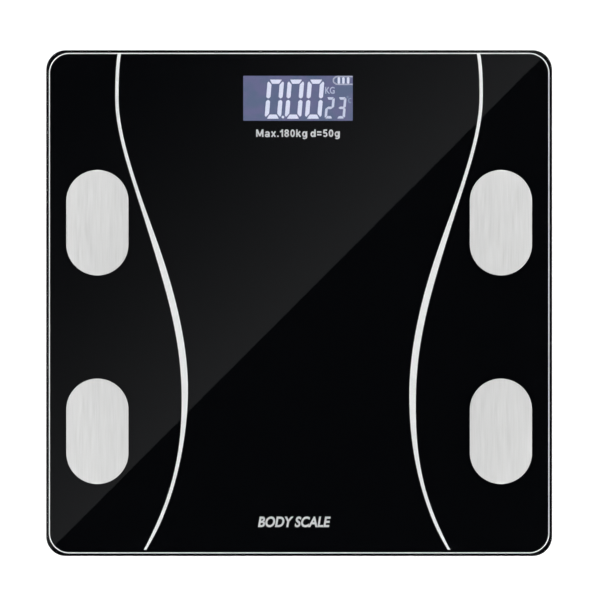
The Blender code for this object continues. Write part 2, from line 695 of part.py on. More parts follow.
def build_batteries():
    """Cells in series: the front one has its nub at +X and the rear one at -X."""
    body = BATTERY_LENGTH - BATTERY_NUB_LENGTH
    edge = BATTERY_NUB_LENGTH / 2
    profile = [
        (0.0, BATTERY_LENGTH),
        (BATTERY_NUB_RADIUS, BATTERY_LENGTH),
        (BATTERY_NUB_RADIUS, body),
        (BATTERY_RADIUS - edge, body),
        (BATTERY_RADIUS, body - edge),
        (BATTERY_RADIUS, edge),
        (BATTERY_RADIUS - edge, 0.0),
        (0.0, 0.0),
    ]
    for index, (name, direction) in enumerate((("front", 1), ("rear", -1))):
        plus_end = BAY_LENGTH / 2 - 2 * SEAT_GAP - CONTACT_THICK
        flat_end = direction * (plus_end - BATTERY_LENGTH)
        cell = turned(f"battery_{name}", profile, (flat_end, battery_y(index), BATTERY_AXIS_Z), 20)
        cell.rotation_euler.y = direction * math.pi / 2
        part(cell, BATTERY_WRAP)


def build_contact_plate(name, side, y, width):
    x = side * (BAY_LENGTH / 2 - SEAT_GAP - CONTACT_THICK / 2)
    size = (CONTACT_THICK, width, 2 * BATTERY_RADIUS - 2 * PLAY)
    part(slab(name, size, (x, y, BATTERY_AXIS_Z - BATTERY_RADIUS + PLAY)), SPRING_STEEL)


def build_contact_spring(name, side, y):
    """A coil that tapers from the wall to the cell's flat end."""
    steps = SMALL_STEPS * SPRING_TURNS
    wall = BAY_LENGTH / 2 - 2 * SEAT_GAP - CONTACT_THICK - SPRING_WIRE / 2
    travel = SPRING_LENGTH - SEAT_GAP - SPRING_WIRE
    coil = []
    for i in range(steps + 1):
        share = i / steps
        angle = 2 * math.pi * SPRING_TURNS * share
        radius = SPRING_RADIUS * (1.0 - 0.25 * share)
        coil.append((side * (wall - travel * share), radius * math.cos(angle), radius * math.sin(angle)))
    part(tube(name, coil, SPRING_WIRE, (0, y, BATTERY_AXIS_Z)), SPRING_STEEL)


def build_contacts():
    front, rear = battery_y(0), battery_y(CELL_COUNT - 1)
    build_contact_plate("battery_link_plate", -1, BAY_Y, BATTERY_PITCH + CONTACT_WIDTH)
    build_contact_spring("battery_link_spring", -1, front)
    build_contact_plate("battery_positive_plate", 1, front, CONTACT_WIDTH)
    build_contact_spring("battery_negative_spring", 1, rear)


def build_door():
    """The door turns on two pins at its rear edge. A springy tongue at the front edge is its latch."""
    width = BAY_FLOOR_X - 2 * SEAT_GAP
    length = BAY_FLOOR_Y - 2 * SEAT_GAP - DOOR_THICK / 2
    pins = width + 2 * DOOR_PIN_LENGTH
    front = HINGE_Y - length
    door = slab("battery_door", (width, length, DOOR_THICK), (0, -length / 2, -DOOR_THICK / 2))
    door.data.transform(Matrix.Translation(door.location))
    door.location = (0, HINGE_Y, HINGE_Z)
    join(
        door,
        rod("door_barrel", DOOR_THICK / 2, width, (-width / 2, HINGE_Y, HINGE_Z), CURVE_STEPS, "X"),
        rod("door_pins", DOOR_PIN_RADIUS, pins, (-pins / 2, HINGE_Y, HINGE_Z), SMALL_STEPS, "X"),
        slab("latch_nib", (LATCH_NIB_WIDTH, 2 * LATCH_NIB, DOOR_THICK / 2), (0, front, HINGE_Z)),
    )
    for side_name, side in SIDES.items():
        place = (side * (LATCH_WIDTH + LATCH_SLOT) / 2, front + LATCH_LENGTH / 2, FLOOR_GAP - DOOR_THICK / 2)
        cut(door, slab(f"latch_slot_{side_name}", (LATCH_SLOT, LATCH_LENGTH + PLAY, 2 * DOOR_THICK), place))
    grip = (LATCH_WIDTH - 2 * LATCH_SLOT, LATCH_LENGTH / 2, 2 * LATCH_GRIP)
    cut(door, slab("latch_grip", grip, (0, front + LATCH_LENGTH / 2, FLOOR_GAP - LATCH_GRIP)))
    part(door, ABS)


# --- Display and electronics ---


def build_display():
    place = (0, DISPLAY_Y)
    outer = (LCD_FRAME_WIDTH, LCD_FRAME_DEPTH)
    inner = (LCD_WIDTH + 2 * SEAT_GAP, LCD_DEPTH + 2 * SEAT_GAP)
    window = (WINDOW_WIDTH, WINDOW_DEPTH)
    part(slab("lcd_panel", (LCD_WIDTH, LCD_DEPTH, LCD_THICK), (*place, LCD_BOTTOM)), DISPLAY)
    part(slab("lcd_backlight", (LCD_WIDTH, LCD_DEPTH, BACKLIGHT_THICK), (*place, BACKLIGHT_BOTTOM)), ACRYLIC)
    frame = [rounded_rectangle(*outer, LCD_FRAME_WALL, 3), rounded_rectangle(*inner, SEAT_GAP, 1)]
    part(plate("lcd_frame", frame, LCD_TOP - ON_PCB, (*place, ON_PCB)), ABS)
    gasket = [rounded_rectangle(*outer, LCD_FRAME_WALL, 3), rounded_rectangle(*window, SEAT_GAP, 1)]
    part(plate("display_gasket", gasket, TAPE_THICK, (*place, LCD_TOP + SEAT_GAP)), FOAM)


def build_board():
    holes = [
        ring_points(PCB_HOLE_RADIUS, SMALL_STEPS, (sx * PCB_HOLE_X, sy * PCB_HOLE_Y)) for sx in (-1, 1) for sy in (-1, 1)
    ]
    outline = rounded_rectangle(PCB_WIDTH, PCB_DEPTH, PCB_HOLE_RADIUS, 3)
    part(plate("main_pcb", [outline, *holes], PCB_THICK, (0, PCB_Y, PCB_BOTTOM)), BOARD)
    dome = [
        (0.0, CHIP_HEIGHT),
        (CHIP_RADIUS * 0.5, CHIP_HEIGHT * 0.9),
        (CHIP_RADIUS * 0.85, CHIP_HEIGHT * 0.5),
        (CHIP_RADIUS, 0.0),
        (0.0, 0.0),
    ]
    strip_y = PCB_FRONT + 2 * SOLDER_ROW_INSET + CHIP_RADIUS / 2
    part(turned("controller_chip", dome, (-PCB_WIDTH / 5, strip_y, ON_PCB)), EPOXY)
    module_y = PCB_FRONT + 0.5 * SOLDER_ROW_INSET + MODULE_SIZE[1] / 2
    part(slab("wireless_module", MODULE_SIZE, (PCB_WIDTH / 3.2, module_y, ON_PCB)), CELL_STEEL)
    for index, (name, sign) in enumerate((("front", -1), ("rear", 1))):
        build_screw(f"pcb_screw_{name}", sign * PCB_HOLE_X, PCB_Y + sign * PCB_HOLE_Y)


def build_screw(name, x, y):
    """A pan-head self-tapping screw with a point."""
    head = SCREW_HEAD_HEIGHT
    profile = [
        (0.0, head),
        (SCREW_HEAD_RADIUS * 0.7, head),
        (SCREW_HEAD_RADIUS, head / 2),
        (SCREW_HEAD_RADIUS, 0.0),
        (SCREW_RADIUS, 0.0),
        (SCREW_RADIUS, -SCREW_LENGTH + SCREW_RADIUS),
        (0.0, -SCREW_LENGTH),
    ]
    screw = turned(name, profile, (x, y, ON_PCB), SMALL_STEPS)
    slot = slab(f"{name}_slot", (SCREW_HEAD_RADIUS * 1.2, SEAT_GAP, head), (x, y, ON_PCB + head / 2))
    cut(screw, slot)
    part(screw, SPRING_STEEL)


def build_unit_button():
    """A push switch under the board and, through the tray's floor, the cap that works it."""
    body_bottom = PCB_BOTTOM - SEAT_GAP - SWITCH_THICK
    switch = slab("unit_switch", (SWITCH_SIDE, SWITCH_SIDE, SWITCH_THICK), (0, SWITCH_Y, body_bottom))
    bore_depth = PLUNGER_DEPTH + BUTTON_TRAVEL + SEAT_GAP
    bore = (0, SWITCH_Y, body_bottom - PLAY)
    cut(switch, rod("plunger_bore", PLUNGER_RADIUS + SEAT_GAP, bore_depth + PLAY, bore, SMALL_STEPS))
    part(switch, EPOXY)
    plunger_bottom = body_bottom - PLUNGER_PROUD
    place = (0, SWITCH_Y, plunger_bottom)
    part(rod("switch_plunger", PLUNGER_RADIUS, PLUNGER_PROUD + PLUNGER_DEPTH, place, SMALL_STEPS), WHITE_PVC)
    stem_top = plunger_bottom - SEAT_GAP
    flange = TRAY_FLOOR_TOP + SEAT_GAP
    face = FLOOR_GAP + BUTTON_RECESS
    edge = BUTTON_RECESS
    profile = [
        (0.0, stem_top),
        (BUTTON_STEM_RADIUS, stem_top),
        (BUTTON_STEM_RADIUS, flange + BUTTON_FLANGE_THICK),
        (BUTTON_RADIUS + BUTTON_FLANGE, flange + BUTTON_FLANGE_THICK),
        (BUTTON_RADIUS + BUTTON_FLANGE, flange),
        (BUTTON_RADIUS, flange),
        (BUTTON_RADIUS, face + edge),
        (BUTTON_RADIUS - edge, face),
        (0.0, face),
    ]
    part(turned("unit_button", profile, (0, SWITCH_Y, 0)), GREY_ABS)


# --- Wiring ---


def solder_point(side, index, diameter):
    """Where wire number index, counted from the outermost, meets the underside of the board."""
    x = side * (PCB_HOLE_X - PCB_HOLE_INSET - 0.0010 - index * SOLDER_PITCH)
    return Vector((x, SOLDER_ROW_Y, PCB_BOTTOM - SEAT_GAP - diameter / 4))


def along_lane(side, index, diameter, places):
    """The stretch along the tray's floor, then in lane number index in front of the board, and up to its solder point."""
    z = TRAY_FLOOR_TOP + SEAT_GAP + diameter / 2
    end = solder_point(side, index, diameter)
    lane_y = PCB_FRONT - 0.0011 - index * LANE_PITCH
    turn = 1.6 * diameter
    route = [Vector((side * x, y, z)) for x, y in places]
    route += [
        Vector((end.x + side * 0.010, lane_y, z)),
        Vector((end.x + side * turn, lane_y, z)),
        Vector((end.x, lane_y + turn, z)),
        Vector((end.x, end.y, z + turn)),
        end,
    ]
    return route


def from_load_cell(side, end):
    """Up from the gauge, out through the notch in the well and down to the tray's floor."""
    y = end * (FOOT_Y - GAUGE_OFFSET)
    wall = FOOT_X - POCKET_OUTER / 2
    start_z = CELL_TOP + 2 * SEAT_GAP + GAUGE_THICK
    over = LEDGE_TOP + SEAT_GAP + CABLE_DIAMETER
    return [
        Vector((side * FOOT_X, y, start_z)),
        Vector((side * (FOOT_X - 0.002), y, over)),
        Vector((side * (FOOT_X - 0.010), y, over + 0.0005)),
        Vector((side * (wall - 0.001), y, over)),
        Vector((side * (wall - 0.0055), y - end * 0.001, (over + TRAY_FLOOR_TOP) / 2)),
    ]


def from_electrode(side, end_name):
    """Down from the solder tag's tail to the tray's floor."""
    y = ELECTRODE_Y[end_name]
    x = ELECTRODE_X - TAG_RADIUS - TAG_TAIL_LENGTH
    top = GLASS_BOTTOM - TAG_THICK - 2 * SEAT_GAP - WIRE_DIAMETER / 2
    return [
        Vector((side * (x + 0.001), y, top)),
        Vector((side * (x - 0.002), y, top - 0.0006)),
        Vector((side * (x - 0.006), y + 0.001, (top + TRAY_FLOOR_TOP) / 2)),
    ]


def build_side_wiring(side_name, side):
    """Two load-cell cables and two electrode wires, each in its own lane along the tray's side to the board."""
    wall = FOOT_X - POCKET_OUTER / 2
    outer, inner = wall - 0.0114, wall - 0.0154
    from_rear_cell = [(wall - 0.010, FOOT_Y - 0.011), (wall - 0.020, PCB_FRONT + 0.004)]
    from_rear_plate = [
        (wall + 0.008, ELECTRODE_Y["rear"] + 0.003),
        (wall - 0.002, ELECTRODE_Y["rear"] + 0.012),
        (wall - 0.012, PCB_FRONT - 0.012),
        (wall - 0.024, PCB_FRONT - 0.0042),
    ]
    from_front_plate = [
        (wall + 0.008, ELECTRODE_Y["front"] + 0.005),
        (outer + 0.006, ELECTRODE_Y["front"] + 0.018),
        (outer, ELECTRODE_Y["front"] + 0.040),
        (outer, ELECTRODE_Y["rear"] - 0.020),
        (outer - 0.003, ELECTRODE_Y["rear"] + 0.002),
        (outer - 0.012, PCB_FRONT - 0.016),
        (outer - 0.021, PCB_FRONT - 0.0066),
    ]
    from_front_cell = [
        (wall - 0.010, -FOOT_Y + 0.011),
        (inner, -FOOT_Y + 0.022),
        (inner, ELECTRODE_Y["front"] + 0.030),
        (inner, ELECTRODE_Y["rear"] - 0.028),
        (inner - 0.004, ELECTRODE_Y["rear"] - 0.004),
        (inner - 0.013, PCB_FRONT - 0.018),
        (inner - 0.021, PCB_FRONT - 0.0086),
    ]
    routes = (
        (f"load_cell_cable_rear_{side_name}", CABLE_DIAMETER, from_load_cell(side, 1), from_rear_cell),
        (f"electrode_wire_rear_{side_name}", WIRE_DIAMETER, from_electrode(side, "rear"), from_rear_plate),
        (f"electrode_wire_front_{side_name}", WIRE_DIAMETER, from_electrode(side, "front"), from_front_plate),
        (f"load_cell_cable_front_{side_name}", CABLE_DIAMETER, from_load_cell(side, -1), from_front_cell),
    )
    for index, (name, diameter, start, places) in enumerate(routes):
        route = start + along_lane(side, index, diameter, places)
        finish_of = BLACK_PVC if diameter == CABLE_DIAMETER else WHITE_PVC
        part(tube(name, smooth_route(route, 2), diameter), finish_of)


def build_battery_leads():
    """From the contacts, out through the bay's wall, up over the floor wires and down on the top of the board."""
    z = lead_z()
    wall = BAY_LENGTH / 2 + BAY_WALL
    corner_y = BAY_Y + BAY_FLOOR_Y / 2 + DOOR_FRAME
    high = ON_PCB + 0.0018
    leads = (
        ("battery_lead_positive", RED_PVC, 0, 0.0070, 0.0110),
        ("battery_lead_negative", BLACK_PVC, CELL_COUNT - 1, 0.0035, 0.0065),
    )
    for name, material, index, out, end_x in leads:
        y = battery_y(index)
        route = [
            Vector((BAY_LENGTH / 2, y, z)),
            Vector((wall + 0.0015, y, z)),
            Vector((wall + out, y + 0.0040, z)),
            Vector((wall + out, corner_y - 0.0040, z + 0.0002)),
            Vector((wall + out - 0.0080, corner_y + out * 0.9, high)),
            Vector((end_x + 0.0080, PCB_FRONT - 0.0060 + out * 0.5, high)),
            Vector((end_x, PCB_FRONT - 0.0010, high)),
            Vector((end_x, PCB_FRONT + SOLDER_ROW_INSET, high - 0.0006)),
            Vector((end_x, PCB_FRONT + SOLDER_ROW_INSET + 0.0004, ON_PCB)),
        ]
        part(tube(name, smooth_route(route, 2), WIRE_DIAMETER), material)


def main():
    build_glass()
    build_tape()
    build_tray()
    for corner, (side, end) in CORNERS.items():
        build_electrode(corner, side)
        build_load_cell(corner, side * FOOT_X, end * FOOT_Y, end)
        build_foot(corner, side * FOOT_X, end * FOOT_Y)
    build_batteries()
    build_contacts()
    build_door()
    build_display()
    build_board()
    build_unit_button()
    for side_name, side in SIDES.items():
        build_side_wiring(side_name, side)
    build_battery_leads()


main()
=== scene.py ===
"""The looks of a glass body scale: printed tempered glass, brushed steel foot plates, a backlit display and
a moulded tray on rubber feet, on a pale studio floor. Metres, +Z up, +Y towards the display, and the origin
on the floor."""

import math

import bmesh
import bpy
from mathutils import Matrix, Vector


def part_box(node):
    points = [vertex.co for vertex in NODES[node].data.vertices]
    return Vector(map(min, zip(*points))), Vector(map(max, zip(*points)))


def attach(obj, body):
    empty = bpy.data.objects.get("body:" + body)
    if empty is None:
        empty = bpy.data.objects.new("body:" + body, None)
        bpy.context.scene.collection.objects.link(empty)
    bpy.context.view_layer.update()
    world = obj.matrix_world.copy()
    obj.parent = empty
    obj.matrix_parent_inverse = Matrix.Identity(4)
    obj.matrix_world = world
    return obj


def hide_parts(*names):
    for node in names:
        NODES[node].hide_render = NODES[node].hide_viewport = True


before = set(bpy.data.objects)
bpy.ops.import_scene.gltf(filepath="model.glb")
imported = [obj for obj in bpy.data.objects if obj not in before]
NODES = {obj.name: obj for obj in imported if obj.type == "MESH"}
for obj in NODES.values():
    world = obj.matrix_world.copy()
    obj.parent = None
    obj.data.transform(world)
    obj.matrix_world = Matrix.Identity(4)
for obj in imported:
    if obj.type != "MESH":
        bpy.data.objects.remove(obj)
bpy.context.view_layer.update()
MM = 0.001
ROOT = "scale_body"
SIDES = {"left": -1, "right": 1}
CORNERS = ("front_left", "front_right", "rear_left", "rear_right")

GLASS_LOW, GLASS_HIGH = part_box("glass_platform")
LCD_LOW, LCD_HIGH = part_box("lcd_panel")
TRAY_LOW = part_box("base_tray")[0]
PCB_LOW, PCB_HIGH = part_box("main_pcb")
DOOR_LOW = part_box("battery_door")[0]
BUTTON_LOW, BUTTON_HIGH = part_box("unit_button")

# Print on the underside of the glass.
INK_THICK = 0.03 * MM
INK_BED = 0.02 * MM
GLASS_CORNER = 10.2 * MM
GLASS_ARRIS = 0.12 * MM
PLATE_LOW = GLASS_HIGH.z + 0.3 * MM
BLACK_MARGIN = 0.02 * MM
BORDER_INSET = 1.20 * MM
BORDER_WIDTH = 0.55 * MM
STUD_HOLE = 2.0 * MM
STUD_OPENING = 2.1 * MM
PRINT_THICK = 0.03 * MM
PRINT_BED = 0.01 * MM
WINDOW_CENTRE = (-0.60 * MM, 105.65 * MM)
WINDOW_SIZE = (56.5 * MM, 23.2 * MM)
WINDOW_CORNER = 0.3 * MM
TEXT_CAP = 3.92 * MM
TEXT_WIDTH = 43.2 * MM
TEXT_BASE = (-0.6 * MM, 85.7 * MM)
WORDS_CAP = 5.2 * MM
WORDS_WIDTH = 37.5 * MM
WORDS_BASE = (-2.5 * MM, -115.3 * MM)

# The waisted silver lines, from the rear: each knot with the handles before and after it, in mm out from
# the middle.
LINE_KNOTS = {
    "left": (
        ((92.75, 128.5), None, (1.3, -7.6)),
        ((94.0, 105.5), (0.0, 4.0), (0.0, -37.5)),
        ((59.0, -46.3), (0.0, 57.3), (0.0, -25.6)),
        ((79.5, -127.2), (-15.8, 27.5), None),
    ),
    "right": (
        ((92.5, 128.5), None, (1.5, -7.6)),
        ((93.85, 106.5), (0.0, 4.0), (0.0, -39.5)),
        ((58.5, -48.6), (0.0, 60.4), (0.0, -15.1)),
        ((77.3, -127.2), (-18.4, 31.8), None),
    ),
}
LINE_THIN = 1.70 * MM
LINE_SWELL = 1.80 * MM
TAPER_START = -116.0 * MM
TAPER_REACH = 9.0 * MM
TAPER_SHARE = 0.28
SWELL_CENTRE = {"left": -12.4 * MM, "right": -17.0 * MM}
SWELL_REACH = {"left": 54.0 * MM, "right": 59.0 * MM}
LINE_STEPS = 40

# Foot plates: the sheet's edge, the film under it, and the stud.
PLATE_ARRIS = 0.07 * MM
FILM_INSET = 0.6 * MM
FILM_HOLE = 1.6 * MM
STUD_RADIUS = 1.4 * MM
STUD_BEVEL = 0.3 * MM

# Symbols of the display. Places are measured from the middle of the scale.
LEAN = math.tan(math.radians(4.7))
SYMBOL_THICK = 0.02 * MM
BIG_DIGIT = (8.5 * MM, 20.2 * MM, 2.15 * MM)
BIG_PITCH = 10.4 * MM
BIG_START = (-17.9 * MM, 95.25 * MM)
BIG_GAP = 0.28 * MM
POINT_PLACE = (-8.4 * MM, 96.1 * MM)
POINT_RADIUS = 0.7 * MM
SMALL_DIGIT = (4.5 * MM, 11.0 * MM, 1.3 * MM)
SMALL_STARTS = (13.05 * MM, 19.1 * MM)
SMALL_BASE = 95.35 * MM
SMALL_GAP = 0.03 * MM
BAR_EASE = 0.14
UNIT_CAP = 3.4 * MM
UNIT_WIDTH = 4.9 * MM
UNIT_BASE = (15.9 * MM, 108.25 * MM)
BARS_OF = {"0": "abcdef", "2": "abged", "3": "abgcd"}

# Camera and studio.
LENS_MM = 100.0
SENSOR_MM = 36.0
CAMERA_ABOVE_GLASS = 856.9 * MM
CAMERA_DROP = 0.6 * MM
CAMERA_PLACE = (0.43 * MM, 1.61 * MM)
CARD_ABOVE_GLASS = 1.10
CARD_REACH = 181.8 * MM
CARD_FALL = 2.2
SOFTBOX_ASIDE = 1.15
SOFTBOX_BACK = 0.1
SOFTBOX_ABOVE = 0.85
SOFTBOX_SIZE = (0.9, 1.2)

# How brightly the floor, the silver ink, the display and the studio's lights shine.
FLOOR_GLOW = 0.88
SILVER_GLOW = 0.09
LCD_GLOW = 0.88
CARD_GLOW = 0.29
HORIZON_GLOW = 1.02
SKY_GLOW = 0.60
RING_GLOW = 3.1
SOFTBOX_POWER = 3.5


# --- Materials ---


def hex_colour(code):
    """A hex sRGB colour as linear RGBA."""
    parts = [int(code[i : i + 2], 16) / 255 for i in (1, 3, 5)]
    linear = [c / 12.92 if c <= 0.04045 else ((c + 0.055) / 1.055) ** 2.4 for c in parts]
    return (*linear, 1.0)


def add(tree, kind, inputs=None, **settings):
    """Adds a node with its settings. An input given as a socket is linked, and any other is set."""
    node = tree.nodes.new(kind)
    for name, value in settings.items():
        setattr(node, name, value)
    for name, value in (inputs or {}).items():
        if isinstance(value, bpy.types.NodeSocket):
            tree.links.new(value, node.inputs[name])
        else:
            node.inputs[name].default_value = value
    return node


def new_material(name, colour, **inputs):
    """A Principled material. Keyword names are the shader's inputs with _ for a space."""
    material = bpy.data.materials.new(name)
    material.use_nodes = True
    tree = material.node_tree
    tree.nodes.clear()
    named = {key.replace("_", " "): value for key, value in inputs.items()}
    shader = add(tree, "ShaderNodeBsdfPrincipled", {"Base Color": hex_colour(colour), **named})
    add(tree, "ShaderNodeOutputMaterial", {"Surface": shader.outputs[0]})
    return material, tree, shader


def grain(tree, size, stretch=(1.0, 1.0, 1.0), detail=2.0):
    """Noise from 0 to 1 with grains this many metres across, each drawn out along the axes by stretch."""
    place = add(tree, "ShaderNodeTexCoord").outputs["Object"]
    scale = [1.0 / (size * along) for along in stretch]
    turned = add(tree, "ShaderNodeMapping", {"Vector": place, "Scale": scale})
    noise = add(tree, "ShaderNodeTexNoise", {"Vector": turned.outputs[0], "Scale": 1.0, "Detail": detail})
    return noise.outputs[0]


def ranged(tree, value, low, high, start=0.3, end=0.7):
    """Value carried from start..end to low..high."""
    limits = {"Value": value, "From Min": start, "From Max": end, "To Min": low, "To Max": high}
    return add(tree, "ShaderNodeMapRange", limits).outputs[0]


def mixed(tree, share, first, second):
    """A colour between two, each a hex code or a socket."""
    colours = [hex_colour(c) if isinstance(c, str) else c for c in (first, second)]
    return add(tree, "ShaderNodeMix", {0: share, 6: colours[0], 7: colours[1]}, data_type="RGBA").outputs[2]


def raise_surface(tree, shader, height, distance, strength=1.0):
    bump = add(tree, "ShaderNodeBump", {"Height": height, "Distance": distance, "Strength": strength})
    tree.links.new(bump.outputs[0], shader.inputs["Normal"])


def drive(tree, shader, name, socket):
    tree.links.new(socket, shader.inputs[name])


def tempered_glass():
    """Float glass, polished and tempered: clear, with a faint green cast and a trace of smear."""
    material, tree, shader = new_material(
        "tempered_float_glass", "#fcfefd", Transmission_Weight=1.0, IOR=1.52
    )
    drive(tree, shader, "Roughness", ranged(tree, grain(tree, 25 * MM), 0.0, 0.006))
    return material


def black_ink():
    """Screen-printed ceramic ink, fired on: as near black as paint gets, with no shine under the glass."""
    material, tree, shader = new_material(
        "black_ceramic_ink", "#050506", Roughness=0.7, Specular_IOR_Level=0.0
    )
    drive(tree, shader, "Base Color", mixed(tree, grain(tree, 12 * MM), "#030304", "#060607"))
    return material


def silver_ink():
    """Screen-printed silver ink: pale and bright, with a faint mottle of flakes, drawn 0.3 mm across to show
    at all. Its faint glow isn't physical: it brings up the ink's brightness behind the glass."""
    material, tree, shader = new_material(
        "silver_ceramic_ink", "#f4f4f4", Roughness=0.55, Specular_IOR_Level=0.0
    )
    drive(tree, shader, "Base Color", mixed(tree, grain(tree, 0.3 * MM), "#f0f0f0", "#f9f9f9"))
    shader.inputs["Emission Color"].default_value = hex_colour("#ffffff")
    shader.inputs["Emission Strength"].default_value = SILVER_GLOW
    return material


def white_ink():
    """Screen-printed white ink: a slightly greyed white, with a faint mottle 0.5 mm across."""
    material, tree, shader = new_material(
        "white_ceramic_ink", "#dfe0e1", Roughness=0.6, Specular_IOR_Level=0.0
    )
    drive(tree, shader, "Base Color", mixed(tree, grain(tree, 0.5 * MM), "#d8d9db", "#e6e6e7"))
    return material


def brushed_steel():
    """Stainless sheet brushed along Y with a fine belt: soft grey streaks and a drawn-out shine. Scratches
    are drawn 0.35 mm wide, to show at all."""
    material, tree, shader = new_material(
        "brushed_stainless_steel", "#c8c8c6", Metallic=1.0, Anisotropic=0.8, Roughness=0.4
    )
    fine = grain(tree, 0.35 * MM, (1.0, 45.0, 1.0), 3.0)
    broad = grain(tree, 2.2 * MM, (1.0, 16.0, 1.0), 2.0)
    streaks = mixed(tree, ranged(tree, fine, 0.0, 1.0), "#b2b2b1", "#bababa")
    drive(tree, shader, "Base Color", mixed(tree, ranged(tree, broad, 0.0, 0.3), streaks, "#c3c3c1"))
    drive(tree, shader, "Roughness", ranged(tree, fine, 0.29, 0.34))
    across = add(tree, "ShaderNodeCombineXYZ", {"X": 1.0, "Y": 0.0, "Z": 0.0})
    drive(tree, shader, "Tangent", across.outputs[0])
    raise_surface(tree, shader, fine, 0.004 * MM, 0.2)
    return material


def moulded_abs(name, dark, light, grit=0.45 * MM):
    """ABS from a spark-eroded mould: an even satin skin with a fine pebble, and a faint flow of tone."""
    material, tree, shader = new_material(name, dark, IOR=1.53)
    pebble = grain(tree, grit, detail=3.0)
    flow = grain(tree, 30 * MM, detail=1.0)
    drive(tree, shader, "Base Color", mixed(tree, ranged(tree, flow, 0.0, 1.0), dark, light))
    drive(tree, shader, "Roughness", ranged(tree, pebble, 0.46, 0.60))
    raise_surface(tree, shader, pebble, 0.03 * MM, 0.6)
    return material


def pad_rubber():
    """Moulded rubber: matt and nearly black, with dust caught in its pores."""
    material, tree, shader = new_material("moulded_black_rubber", "#17171a", IOR=1.5)
    pores = grain(tree, 0.35 * MM, detail=4.0)
    dust = ranged(tree, pores, 0.0, 0.5, 0.55, 0.8)
    drive(tree, shader, "Base Color", mixed(tree, dust, "#161618", "#3a3a3b"))
    drive(tree, shader, "Roughness", ranged(tree, pores, 0.78, 0.92))
    raise_surface(tree, shader, pores, 0.04 * MM, 0.7)
    return material


def foam(name, dark, light):
    """Closed-cell foam tape: open pores about 0.3 mm across on its cut edges."""
    material, tree, shader = new_material(name, dark, IOR=1.45)
    pores = grain(tree, 0.3 * MM, detail=4.0)
    drive(tree, shader, "Base Color", mixed(tree, ranged(tree, pores, 0.0, 1.0), dark, light))
    drive(tree, shader, "Roughness", ranged(tree, pores, 0.85, 0.95))
    raise_surface(tree, shader, pores, 0.06 * MM, 0.8)
    return material


def sheet_metal(name, dark, light, roughness, size=1.2 * MM):
    """Plated sheet or wire: small spangles of the plating shift its tone."""
    material, tree, shader = new_material(name, dark, Metallic=1.0)
    spangle = grain(tree, size, detail=3.0)
    drive(tree, shader, "Base Color", mixed(tree, ranged(tree, spangle, 0.0, 1.0), dark, light))
    drive(tree, shader, "Roughness", ranged(tree, spangle, roughness, roughness + 0.12))
    return material


def smooth_plastic(name, dark, light, roughness=0.35):
    """Extruded or cast plastic: glossy, with slow ripples in its tone."""
    material, tree, shader = new_material(name, dark, IOR=1.53)
    ripple = grain(tree, 3 * MM, detail=2.0)
    drive(tree, shader, "Base Color", mixed(tree, ranged(tree, ripple, 0.0, 1.0), dark, light))
    drive(tree, shader, "Roughness", ranged(tree, ripple, roughness, roughness + 0.1))
    raise_surface(tree, shader, ripple, 0.02 * MM, 0.3)
    return material


def circuit_board():
    """Glass-epoxy laminate under green solder mask. Copper tracks show through as paler green lines, round
    cells about 3 mm across."""
    material, tree, shader = new_material("solder_masked_laminate", "#0f4a28", IOR=1.55, Roughness=0.35)
    place = add(tree, "ShaderNodeTexCoord").outputs["Object"]
    per_metre = 330.0
    cells = add(tree, "ShaderNodeMapping", {"Vector": place, "Scale": (per_metre, per_metre, 0.0)})
    tracks = add(
        tree,
        "ShaderNodeTexVoronoi",
        {"Vector": cells.outputs[0], "Scale": 1.0},
        feature="DISTANCE_TO_EDGE",
        distance="CHEBYCHEV",
    )
    edge = ranged(tree, tracks.outputs[0], 1.0, 0.0, 0.06, 0.10)
    weave = grain(tree, 0.4 * MM)
    mask = mixed(tree, ranged(tree, weave, 0.0, 1.0), "#0d4524", "#12522d")
    drive(tree, shader, "Base Color", mixed(tree, edge, mask, "#2c7a4a"))
    raise_surface(tree, shader, edge, 0.035 * MM, 0.8)
    return material


def backlit_panel():
    """Negative liquid crystal over a blue backlight: a dusky violet blue that turns greener where the film
    is thin."""
    material, tree, shader = new_material("backlit_negative_lcd", "#0b0c12", Roughness=0.2, IOR=1.5)
    patches = grain(tree, 9 * MM, (1.0, 0.7, 1.0), 1.0)
    glow = mixed(tree, ranged(tree, patches, 0.0, 1.0, 0.40, 0.62), "#6f7098", "#647092")
    drive(tree, shader, "Emission Color", glow)
    shader.inputs["Emission Strength"].default_value = LCD_GLOW
    return material


def lit_symbol(name, colour, other, strength=0.93):
    """A clear segment of the display, where the backlight comes through."""
    material, tree, shader = new_material(name, "#101014", Roughness=0.3)
    patches = ranged(tree, grain(tree, 4 * MM), 0.0, 1.0)
    drive(tree, shader, "Emission Color", mixed(tree, patches, colour, other))
    shader.inputs["Emission Strength"].default_value = strength
    return material


